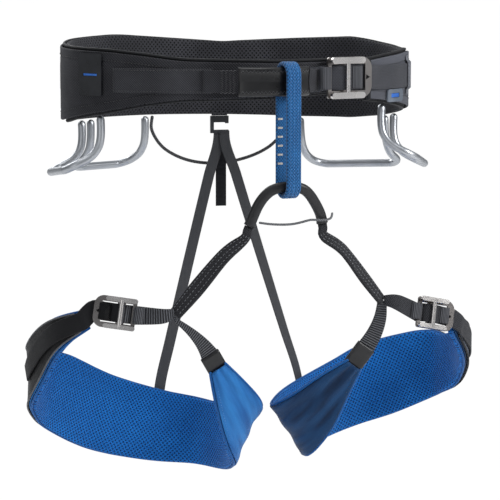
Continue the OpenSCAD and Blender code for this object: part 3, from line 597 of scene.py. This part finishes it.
PALE_THREAD = thread("pale_thread", (0.72, 0.68, 0.62))
BLUE_THREAD = thread("blue_thread", (0.07, 0.30, 0.72))
PIPING_BLACK = ribbed("piping_black", (0.006, 0.006, 0.007), (0.024, 0.025, 0.028), 1.1 * MM, 0.1 * MM)
PIPING_GREY = ribbed("piping_grey", (0.06, 0.062, 0.068), (0.20, 0.205, 0.22), 1.1 * MM, 0.1 * MM)
PIPING_BLUE = ribbed("piping_blue", (0.006, 0.075, 0.27), (0.014, 0.15, 0.48), 1.1 * MM, 0.1 * MM)


# ---- Sewing ----

def seam(name, band, across, material, body, start=0.0, pitch=3.2 * MM, share=0.62, lift=0.15 * MM,
         thickness=0.28 * MM):
    """A row of separate stitches along a band. across is their distance from its middle, or a function
    that gives it at a distance along."""
    points, faces, uv = [], [], []
    for k in range(int((band.length - start) / pitch)):
        s0 = start + k * pitch
        x = across(s0) if callable(across) else across
        ends = [band.point(s0, x, lift), band.point(s0 + share * pitch, x, lift)]
        _, w, n, _ = band.at(s0)
        rings = [(ends[0], 0.3, -0.4), (0.7 * ends[0] + 0.3 * ends[1], 1.0, 0.25),
                 (0.3 * ends[0] + 0.7 * ends[1], 1.0, 0.25), (ends[1], 0.3, -0.4)]
        first = len(points)
        for c, size, rise in rings:
            for q in range(6):
                turn = math.pi * q / 3
                points.append(c + thickness * (rise * n + size * (math.cos(turn) * w + math.sin(turn) * n)))
                uv.append((s0, q * thickness))
        faces += [tuple(first + i for i in face) for face in wrap(4, 6)]
    return make(name, points, faces, material, body, uv)


def zigzag(name, band, paths, material, body, thickness=0.3 * MM, lift=0.2 * MM):
    """Continuous thread through points given as (along, across), one path after another."""
    joined = None
    for k, path in enumerate(paths):
        line = [band.point(s, x, lift) for s, x in path]
        piece = tube(f"{name}_{k}", line, thickness, material, None, sides=5)
        if joined is None:
            joined = piece
        else:
            merged = bmesh.new()
            merged.from_mesh(joined.data)
            merged.from_mesh(piece.data)
            merged.to_mesh(joined.data)
            merged.free()
            bpy.data.objects.remove(piece)
    joined.name = name
    joined.data.polygons.foreach_set("use_smooth", [True] * len(joined.data.polygons))
    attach(joined, body)
    return joined


def tack_path(s, low, high, amplitude=1.1 * MM, pitch=1.5 * MM):
    """One crosswise bar tack: a tight zigzag from one edge to the other."""
    count = int((high - low) / pitch * 2)
    return [(s + (amplitude if k % 2 else -amplitude), low + (high - low) * k / count)
            for k in range(count + 1)]


def zigzag_path(start, end, across, amplitude=1.0 * MM, pitch=2.6 * MM):
    """One lengthwise zigzag."""
    count = int((end - start) / pitch * 2)
    return [(start + (end - start) * k / count, across + (amplitude if k % 2 else -amplitude))
            for k in range(count + 1)]


def edge_piping(name, band, side, radius, material, body, lift, inset=0.0):
    """A round binding along one edge of a band. side is 1 for the upper edge and -1 for the lower."""
    fine = band.finer(4 * MM)
    path = fine.c + (side * (fine.a - inset))[:, None] * fine.w + lift * fine.n
    return tube(name, path, radius, material, body, sides=8)


# ---- Padding ----

def puff(piece, band, rise, outer_limit, pressure=4.0):
    """Lets a pad swell under pressure like a filled cushion, held at its edges, and keeps its outer
    face behind the layer that lies over it."""
    mesh = piece.data
    before = np.empty(len(mesh.vertices) * 3)
    mesh.vertices.foreach_get("co", before)
    before = before.reshape(-1, 3)
    held = piece.vertex_groups.new(name="held")
    uv = np.zeros((len(before), 2))
    for loop, corner in zip(mesh.loops, mesh.uv_layers[0].data):
        uv[loop.vertex_index] = corner.uv
    sewn_edge, sewn_end = 5 * MM, 3 * MM
    edge = np.abs(uv[:, 1]) > np.interp(uv[:, 0], band.s, band.a) - sewn_edge
    ends = (uv[:, 0] < sewn_end) | (uv[:, 0] > band.length - sewn_end)
    held.add([int(i) for i in np.nonzero(edge | ends)[0]], 1.0, "REPLACE")
    cloth = piece.modifiers.new("cloth", "CLOTH")
    settings = {"quality": 5, "mass": 0.3, "tension_stiffness": 12, "compression_stiffness": 12,
                "bending_stiffness": 0.6, "use_pressure": True, "uniform_pressure_force": pressure,
                "vertex_group_mass": "held"}
    for setting, value in settings.items():
        setattr(cloth.settings, setting, value)
    cloth.settings.effector_weights.gravity = 0
    cloth.collision_settings.use_collision = False
    cloth.collision_settings.use_self_collision = False
    scene = bpy.context.scene
    frames = 20
    for step in range(1, frames + 1):
        scene.frame_set(step)
    shape = piece.evaluated_get(bpy.context.evaluated_depsgraph_get()).to_mesh()
    after = np.empty(len(before) * 3)
    shape.vertices.foreach_get("co", after)
    piece.modifiers.remove(cloth)
    scene.frame_set(1)
    move = after.reshape(-1, 3) - before
    far = np.linalg.norm(move, axis=1)
    move *= np.minimum(1, rise / np.maximum(far, 1e-9))[:, None]
    moved = before + move
    normal = np.stack([np.interp(uv[:, 0], band.s, band.n[:, k]) for k in range(3)], axis=1)
    centre = np.stack([np.interp(uv[:, 0], band.s, band.c[:, k]) for k in range(3)], axis=1)
    out = np.einsum("ij,ij->i", moved - centre, normal)
    limit = np.interp(uv[:, 0], band.s, band.b) + outer_limit
    moved -= np.maximum(out - limit, 0)[:, None] * normal
    mesh.vertices.foreach_set("co", moved.ravel())
    mesh.update()


def pad(name, band, material, body, rise, section_points=30, step=4.5 * MM, slim=0.8 * MM):
    """A padded band with a crowned section, swollen by a short cloth simulation."""
    fine = band.finer(step)
    x, y = pad_section(section_points)
    across = (fine.a - 0.4 * MM)[:, None] * x[None]
    out = (fine.b - slim)[:, None] * y[None]
    piece = sweep(name, fine, across, out, material, body)
    puff(piece, fine, rise, 0.05 * MM)
    rounded = piece.modifiers.new("rounded", "SUBSURF")
    rounded.levels = rounded.render_levels = 1
    return piece


# ---- Waist belt ----

ROOT = "waist_belt"
CENTRE = np.zeros(3)
TACK_HALF = 9.5 * MM
RIGHTWARD, LEFTWARD, DOWN = np.array([-1.0, 0, 0]), np.array([1.0, 0, 0]), np.array([0, 0, -1.0])

liner = read_band("waist_liner", LEFTWARD, CENTRE)
shell = read_band("waist_shell", LEFTWARD, CENTRE)


def build_belt():
    padding = pad("waist_padding", liner, BLACK_MESH, ROOT, 1.6 * MM, section_points=32)
    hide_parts("waist_liner")

    web_low, web_high = -5.5 * MM, 15.5 * MM
    ridge = 0.7 * MM
    seam_inset, seam_depth, seam_reach = 8 * MM, 0.5 * MM, 1.2 * MM

    def embossed(s, x):
        """Panel seams near both edges and a raised channel over the webbing inside."""
        half = np.interp(s, shell.s, shell.a)
        mid = np.interp(s, shell.s, shell.c[:, 2])
        z = mid + x * half
        reach = (web_high - web_low) / 2 + 1.5 * MM
        channel = np.clip(1 - np.abs(z - (web_low + web_high) / 2) / reach, 0, 1)
        raised = ridge * np.minimum(channel * 9, 1)
        lip = np.abs(np.abs(x * half) - (half - seam_inset))
        crease = -seam_depth * np.clip(1 - lip / seam_reach, 0, 1)
        return np.where(np.abs(x) < 0.97, crease + 0.25 * raised, 0)

    cover = strap("waist_cover", shell, SHELL_TWILL, ROOT, embossed, shape=41)
    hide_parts("waist_shell")
    # Each edge's binding: radius, lift and inset
    bindings = {"top": (1.3 * MM, 3.2 * MM, 1.0 * MM), "bottom": (1.1 * MM, 1.4 * MM, 1.3 * MM)}
    for label, side in EDGES:
        radius, lift, inset = bindings[label]
        binding = edge_piping(f"waist_binding_{label}", liner, side, radius, PIPING_BLACK, ROOT, lift, inset)
        line = lambda s, q=side: q * (shell.half_width(s) - 7 * MM)
        stitches = seam(f"waist_edge_stitches_{label}", shell, line, BLACK_THREAD, ROOT, pitch=3.0 * MM)
    set_in, sunk = 1.5 * MM, 1.5 * MM
    for label, s in (("left", set_in), ("right", shell.length - set_in)):
        rows = [shell.point(s, x, -sunk) for x in np.linspace(-0.96, 0.96, 14) * shell.half_width(s)]
        end = tube(f"waist_end_binding_{label}", rows, 2.2 * MM, PIPING_BLACK, ROOT, sides=8)


def build_belt_webbing():
    band = read_band("waist_webbing", RIGHTWARD, CENTRE)
    piece = strap("waist_webbing_flat", band, BELT_WEB, ROOT, shape=9)
    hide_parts("waist_webbing")
    for label, side in EDGES:
        line = seam(f"waist_webbing_stitches_{label}", band, side * 8.8 * MM, BLACK_THREAD, ROOT,
                    pitch=2.8 * MM)
    strap_band = read_band("waist_strap", RIGHTWARD, CENTRE)
    piece = strap("waist_strap_woven", strap_band, STRAP_WEB, ROOT, shape=9)
    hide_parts("waist_strap")
    tacks = [tack_path(d, -TACK_HALF, TACK_HALF) for d in (3 * MM, 5.6 * MM, 9.5 * MM, 12 * MM)]
    zigzag("waist_strap_tacks", strap_band, tacks, BLACK_THREAD, ROOT)
    keeper = read_band("strap_keeper", np.array([0, 0, 1.0]), CENTRE, upward=False)
    piece = strap("strap_keeper_elastic", keeper, PALE_ELASTIC, ROOT, shape=5, step=None)
    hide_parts("strap_keeper")


def build_tie_in():
    band = read_band("tie_in_loop", RIGHTWARD, CENTRE)
    piece = strap("tie_in_webbing", band, BELT_WEB, ROOT, shape=9)
    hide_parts("tie_in_loop")
    low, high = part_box("tie_in_sleeve")
    on_sleeve = [s for s, c in zip(band.s, band.c) if low[0] + 2 * MM < c[0] < high[0] - 2 * MM]
    tacks = [tack_path(on_sleeve[0] - d, -TACK_HALF, TACK_HALF)
             for d in (4 * MM, 7.4 * MM, 10.8 * MM, 14.2 * MM)]
    zigzag("tie_in_tacks", band, tacks, DIM_THREAD, ROOT, thickness=0.4 * MM)
    sleeve = band.part(on_sleeve[0], on_sleeve[-1])
    half, half_thick = 12.5 * MM, 3 * MM
    sleeve = Band(sleeve.c, sleeve.w, sleeve.n, np.full_like(sleeve.a, half),
                  np.full_like(sleeve.b, half_thick))

    def rolled(s, x):
        """Two rolled edges with a flatter field between them."""
        field = 0.62
        return -1.0 * MM * np.clip(1 - np.abs(x) / field, 0, 1) ** 0.5 * (np.abs(x) < field)

    piece = strap("tie_in_sleeve_coated", sleeve, SLEEVE_COAT, ROOT, rolled, shape=25, step=2 * MM)
    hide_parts("tie_in_sleeve")
    rows = [zigzag_path(2 * MM, sleeve.length - 2 * MM, x, 0.9 * MM, 3.0 * MM) for x in (-8.6 * MM, 8.6 * MM)]
    stitches = zigzag("tie_in_sleeve_stitches", sleeve, rows, DIM_THREAD, ROOT, thickness=0.22 * MM)


build_belt()
build_belt_webbing()
build_tie_in()


# ---- Belay loop ----

def build_belay_loop():
    low, high = (np.array(v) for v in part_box("belay_loop"))
    joint = next(j for j in frame["record"]["behaviour"]["joints"] if j["name"] == "belay_twist")
    x, y = joint["pos_m"][:2]
    turn = math.radians(12)
    across = np.array([math.cos(turn), math.sin(turn), 0])
    forward = np.array([-math.sin(turn), math.cos(turn), 0])
    width, thick, gap_across = 13.5 * MM, 3 * MM, 17 * MM
    radius = (gap_across + thick) / 2
    top, bottom = high[2] - thick / 2 - radius, low[2] + thick / 2 + radius
    path, normals = [], []

    def row(z, out):
        path.append(np.array([x, y, z]) + radius * out)
        normals.append(out)

    def bend(z, start):
        for q in np.linspace(start, start + np.pi, 15):
            row(z, math.cos(q) * forward - math.sin(q) * DOWN)

    bend(top, 0)
    for z in np.linspace(top, bottom, 22)[1:-1]:
        row(z, -forward)
    bend(bottom, np.pi)
    for z in np.linspace(bottom, top, 22)[1:]:
        row(z, forward)
    count = len(path)
    band = Band(np.array(path), np.repeat(across[None], count, axis=0), np.array(normals),
                np.full(count, width / 2), np.full(count, thick / 2))

    def columns(s, x):
        """Four raised columns of coarse weave."""
        return 0.35 * MM * np.abs(np.sin(2 * np.pi * (x + 1))) * (np.abs(x) < 0.98)

    piece = strap("belay_loop_webbing", band, BELAY_WEB, "belay", columns, shape=25, step=2 * MM)
    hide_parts("belay_loop")
    for k, line in enumerate((-3.4 * MM, 0.0, 3.4 * MM)):
        dashes = seam(f"belay_loop_dashes_{k}", band, line, BLUE_THREAD, "belay", pitch=2.7 * MM,
                      thickness=0.35 * MM)


build_belay_loop()


# ---- Gear loops, cords and risers ----

def build_gear_loops():
    for end in ("front", "rear"):
        for side in SIDES:
            node = f"gear_loop_{end}_{side}"
            path = smooth_path(tube_path(node), 2.5 * MM)
            body = f"gear_{end}_{side}"
            piece = tube(f"gear_tube_{end}_{side}", path, 3.5 * MM, SILVER_TUBE, body, sides=20)
            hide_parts(node)


def build_cords():
    path = smooth_path(tube_path("haul_loop"), 2.0 * MM)
    piece = tube("haul_loop_cord", path, 1.5 * MM, BLACK_CORD, "haul", sides=12)
    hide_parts("haul_loop")
    path = smooth_path(tube_path("bridge_keeper_cord"), 1.5 * MM)
    piece = tube("bridge_keeper_elastic", path, 1.0 * MM, GREY_CORD, ROOT, sides=10)
    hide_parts("bridge_keeper_cord")


def build_risers():
    behind = np.array([0.01, 0.0, -0.2])
    for side in SIDES:
        band = read_band(f"riser_{side}", -DOWN, behind, upward=False)
        top, bottom = band.c[0], band.c[-1]
        band = band.led_from(top + np.array([0, 0, 3 * MM]), band.a[0])
        piece = strap(f"riser_elastic_{side}", band, ELASTIC, None, shape=7, step=3 * MM)
        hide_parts(f"riser_{side}")
        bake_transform(piece)
    for node, look in (("riser_tail", TAIL_WEB), ("riser_anchor", STRAP_WEB)):
        band = read_band(node, -DOWN, behind, upward=False)
        piece = strap(f"{node}_tape", band, look, ROOT, shape=7, step=1.5 * MM)
        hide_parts(node)


build_gear_loops()
build_cords()
build_risers()


# ---- Bridge ----

def build_bridge():
    inner = read_band("bridge_webbing", RIGHTWARD, np.array([0.0145, -0.12, -0.2]), upward=True)
    piece = strap("bridge_inner_tape", inner, LEG_WEB, ROOT, shape=5, step=2 * MM)
    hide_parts("bridge_webbing")
    half, half_thick = 4.5 * MM, 3.5 * MM
    band = Band(inner.c, inner.w, inner.n, np.full_like(inner.a, half), np.full_like(inner.b, half_thick))
    band = band.finer(2 * MM)
    turn = np.linspace(0, 2 * np.pi, 20, endpoint=False)
    x = np.sign(np.cos(turn)) * np.abs(np.cos(turn)) ** 0.8
    y = np.sign(np.sin(turn)) * np.abs(np.sin(turn)) ** 0.8
    lips = 1 + sum(0.10 * np.exp(-(far / (2.2 * MM)) ** 2) for far in (band.s, band.length - band.s))
    across = (band.a * lips)[:, None] * x[None]
    out = (band.b * lips)[:, None] * y[None]
    around = np.repeat(turn[None] * 3 * MM, len(band.s), axis=0)
    piece = sweep("bridge_sleeve_coated", band, across, out, BRIDGE_COAT, ROOT, around)
    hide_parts("bridge_sleeve")


build_bridge()


# ---- Leg loops ----

THIGH = {"right": np.array([-0.09, -0.01, -0.27]), "left": np.array([0.125, -0.01, -0.27])}
OUTSIDE = {"right": RIGHTWARD, "left": LEFTWARD}


def build_leg_pad(side):
    body = f"leg_loop_{side}"
    band = read_band(f"leg_pad_{side}", OUTSIDE[side], THIGH[side])
    piece = pad(f"leg_padding_{side}", band, BLUE_MESH, body, 1.4 * MM, slim=0.6 * MM)
    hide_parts(f"leg_pad_{side}")
    outer = read_band(f"leg_shell_{side}", OUTSIDE[side], THIGH[side])

    def creased(s, x):
        """Soft folds that run out from the narrow end over the front stretch."""
        front = np.clip((s - 0.62 * outer.length) / (0.2 * outer.length), 0, 1)
        return front * (0.8 * MM * (1 + np.sin(x * 6.5 + s * 34)) * (1 - np.abs(x) ** 4))

    # The left leg's face takes the darker copy of the blue satin: painted shade
    look, edging = (SATIN_BLUE, BLUE_THREAD) if side == "right" else (SATIN_BLUE_PAINTED_SHADE, BLACK_THREAD)
    piece = strap(f"leg_face_{side}", outer, look, body, creased, shape=27, step=3.5 * MM)
    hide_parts(f"leg_shell_{side}")
    for label, way in EDGES:
        edge = edge_piping(f"leg_binding_{label}_{side}", band, way, 1.2 * MM, PIPING_BLUE, body, 2.6 * MM,
                           0.8 * MM)
        line = lambda s, q=way: q * (outer.half_width(s) - 3.0 * MM)
        stitches = seam(f"leg_edge_stitches_{label}_{side}", outer, line, edging, body, pitch=2.8 * MM,
                        thickness=0.22 * MM)


def build_leg_cover(side):
    body = f"leg_loop_{side}"
    band = read_band(f"leg_cover_{side}", OUTSIDE[side], THIGH[side])
    look, piping = (COVER_BLACK, PIPING_GREY) if side == "right" else (COVER_GREY, PIPING_BLACK)
    piece = strap(f"leg_cover_fabric_{side}", band, look, body, shape=15, step=3 * MM)
    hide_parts(f"leg_cover_{side}")
    for label, way in EDGES:
        edge = edge_piping(f"leg_cover_piping_{label}_{side}", band, way, 0.8 * MM, piping, body, 0.3 * MM)
    s = band.length - 1.0 * MM
    rows = [band.point(s, x, -0.2 * MM) for x in np.linspace(-0.98, 0.98, 14) * band.half_width(s)]
    tube(f"leg_cover_end_piping_{side}", rows, 0.8 * MM, PIPING_GREY, body, sides=8)


def build_leg_webbing(side):
    body = f"leg_loop_{side}"
    inward = np.array([0.0145, 0.0, -0.16])
    joined = read_band(f"leg_webbing_{side}", -DOWN, inward)
    piece = strap(f"leg_joined_webbing_{side}", joined, LEG_WEB, body, shape=9, step=2 * MM)
    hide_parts(f"leg_webbing_{side}")
    for k, share in enumerate((-0.6, 0.0, 0.6)):
        line = lambda s, q=share: q * joined.half_width(s)
        stitches = seam(f"leg_webbing_stitches_{k}_{side}", joined, line, GREY_THREAD, body, start=8 * MM,
                        pitch=3.4 * MM, thickness=0.3 * MM)
    drop = read_band(f"leg_drop_webbing_{side}", -DOWN, THIGH[side])
    if side == "right":
        drop.a *= 0.5 + 0.5 * drop.s / drop.length
    drop = drop.led_from(joined.c[-1], 0.9 * drop.a[0])
    piece = strap(f"leg_drop_ribbed_{side}", drop, RIBBED_WEB, body, shape=9, step=1 * MM)
    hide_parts(f"leg_drop_webbing_{side}")
    tab = read_band(f"leg_tab_{side}", -DOWN, THIGH[side])
    tab.c[0] -= 2.0 * MM * tab.t[0]
    tab.c[-1] += 3.0 * MM * tab.t[-1]
    piece = strap(f"leg_tab_folded_{side}", tab, TAB_COAT, body, shape=9, step=1.5 * MM)
    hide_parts(f"leg_tab_{side}")
    strap_band = read_band(f"leg_strap_{side}", -OUTSIDE[side], THIGH[side])
    piece = strap(f"leg_strap_woven_{side}", strap_band, LEG_STRAPS[side], body, shape=9, step=1.5 * MM)
    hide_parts(f"leg_strap_{side}")


# Each buckle's middle, the way along it and the way out of its face
BUCKLES = {
    "waist_buckle": ((0.0691, -0.10044, 0.0065), (0.948, 0.317, 0), (0.317, -0.948, 0)),
    "leg_buckle_right": ((-0.1224, -0.0919, -0.1899), (-0.962, 0.2375, 0.137), (-0.222, -0.968, 0.121)),
    "leg_buckle_left": ((0.1506, -0.0919, -0.1999), (0.965, 0.162, -0.206), (0.2006, -0.9629, 0.1805))}
WAIST_FOLD_HALF, LEG_FOLD_HALF = 9.6 * MM, 7.2 * MM


def buckle_wraps(tag, body, half, stretches):
    """Webbing that folds round a buckle's bars: stretches of (start, end, look) along the buckle."""
    origin, long_way, out_way = (np.array(v) for v in BUCKLES[tag])
    u, n = unit(long_way), unit(out_way)
    w = np.cross(n, u)
    for k, (start, end, look) in enumerate(stretches):
        turn = np.linspace(0, np.pi, 9)
        along = (start + end) / 2 - (end - start) / 2 * np.cos(turn)
        rise = 1.6 * MM + 3.0 * MM * np.sin(turn) ** 0.6
        c = origin + along[:, None] * u + rise[:, None] * n
        t = unit(np.gradient(c, axis=0))
        widths = np.repeat(w[None], len(c), axis=0)
        band = Band(c, widths, np.cross(t, widths), np.full(len(c), half), np.full(len(c), 0.8 * MM))
        piece = strap(f"{tag}_fold_{k}", band, look, body, shape=9, step=None)


for leg in SIDES:
    build_leg_pad(leg)
    build_leg_cover(leg)
    build_leg_webbing(leg)


buckle_wraps("waist_buckle", ROOT, WAIST_FOLD_HALF,
             [(-24 * MM, -15 * MM, FOLDED_WEB), (6 * MM, 17 * MM, FOLDED_WEB)])
buckle_wraps("leg_buckle_right", "leg_loop_right", LEG_FOLD_HALF,
             [(-19 * MM, -11 * MM, FOLDED_WEB), (9 * MM, 18 * MM, COVER_BLACK)])
buckle_wraps("leg_buckle_left", "leg_loop_left", LEG_FOLD_HALF,
             [(-19 * MM, -10 * MM, FOLDED_WEB), (8 * MM, 17 * MM, FOLDED_WEB)])


# ---- Looks of the CAD pieces that stay ----

def give(look, *nodes):
    for node in nodes:
        for slot in frame["nodes"][node].material_slots:
            slot.material = look


give(NICKEL, "waist_buckle_plate", "leg_buckle_plate_right", "leg_buckle_plate_left")
give(BRIGHT_STEEL, "waist_buckle_slider", "leg_buckle_slider_right", "leg_buckle_slider_left")
give(PATCH_PLASTIC, "clipper_patch_right")
give(GREY_PLASTIC, "clipper_frame_left")
give(BLUE_PLASTIC, "clipper_insert_right", "clipper_insert_left")
give(DARK_PLASTIC, "riser_hook")
give(PALE_THREAD, "belay_loop_stitching")


# ---- Light, floor and world ----

def build_world():
    world = bpy.data.worlds.new("studio")
    bpy.context.scene.world = world
    world.use_nodes = True
    nodes, links = world.node_tree.nodes, world.node_tree.links
    light = nodes["Background"]
    light.inputs["Color"].default_value = (0.93, 0.96, 1.0, 1)
    place = nodes.new("ShaderNodeTexCoord")
    split = nodes.new("ShaderNodeSeparateXYZ")
    links.new(place.outputs["Generated"], split.inputs[0])
    sky = nodes.new("ShaderNodeMapRange")
    sky.interpolation_type = "SMOOTHSTEP"
    # The light's strength goes from 0.05 at a height of -0.5 to 0.42 at 0.8
    for socket, value in ((1, -0.5), (2, 0.8), (3, 0.05), (4, 0.42)):
        sky.inputs[socket].default_value = value
    links.new(split.outputs[2], sky.inputs[0])
    links.new(sky.outputs[0], light.inputs["Strength"])
    backdrop = nodes.new("ShaderNodeBackground")
    backdrop.inputs["Color"].default_value = (1, 1, 1, 1)
    backdrop.inputs["Strength"].default_value = 1.0
    path = nodes.new("ShaderNodeLightPath")
    seen = nodes.new("ShaderNodeMath")
    seen.operation = "MAXIMUM"
    links.new(path.outputs["Is Camera Ray"], seen.inputs[0])
    links.new(path.outputs["Is Transmission Ray"], seen.inputs[1])
    mix = nodes.new("ShaderNodeMixShader")
    links.new(seen.outputs[0], mix.inputs[0])
    links.new(light.outputs[0], mix.inputs[1])
    links.new(backdrop.outputs[0], mix.inputs[2])
    links.new(mix.outputs[0], nodes["World Output"].inputs[0])


def build_floor():
    below, size = 0.12, 60.0
    low = cad_bounds[0][2] - below
    corners = [(x * size, y * size, low) for x, y in ((-1, -1), (1, -1), (1, 1), (-1, 1))]
    mesh = bpy.data.meshes.new("floor")
    mesh.from_pydata(corners, [], [(0, 1, 2, 3)])
    floor = bpy.data.objects.new("floor", mesh)
    bpy.context.collection.objects.link(floor)
    look = Look("floor_paper", roughness=0.9, specular=0.1)
    paper = look.mix(look.spread(look.noise(3), 0.3, 0.7), (0.90, 0.90, 0.90), (0.93, 0.93, 0.93))
    look.finish(paper)
    glow = look.node("ShaderNodeEmission", {"Color": (1, 1, 1, 1), "Strength": 1.03})
    path = look.node("ShaderNodeLightPath")
    seen = look.math("MAXIMUM", path.outputs["Is Camera Ray"], path.outputs["Is Transmission Ray"])
    mix = look.node("ShaderNodeMixShader", {0: look.math("MULTIPLY", seen, 0.97)})
    look.links.new(look.shader.outputs[0], mix.inputs[1])
    look.links.new(glow.outputs[0], mix.inputs[2])
    look.links.new(mix.outputs[0], look.nodes["Material Output"].inputs[0])
    floor.data.materials.append(look.material)


def area_light(name, place, size, power, towards=(0.0, 0.0, -0.15)):
    data = bpy.data.lights.new(name, "AREA")
    data.shape = "RECTANGLE"
    data.size, data.size_y = size
    data.energy = power
    lamp = bpy.data.objects.new(name, data)
    lamp.location = place
    lamp.rotation_euler = (Vector(towards) - Vector(place)).to_track_quat("-Z", "Y").to_euler()
    bpy.context.collection.objects.link(lamp)


build_world()
build_floor()
area_light("key", (1.25, -1.15, 0.75), (0.8, 0.8), 21)
area_light("fill", (-1.3, -1.4, 0.3), (1.2, 1.0), 3)
area_light("top", (-0.2, -0.3, 1.7), (1.2, 0.9), 9)
area_light("rim", (-0.4, 1.3, 0.7), (1.2, 0.6), 9)
bpy.context.scene.view_settings.view_transform = "Standard"
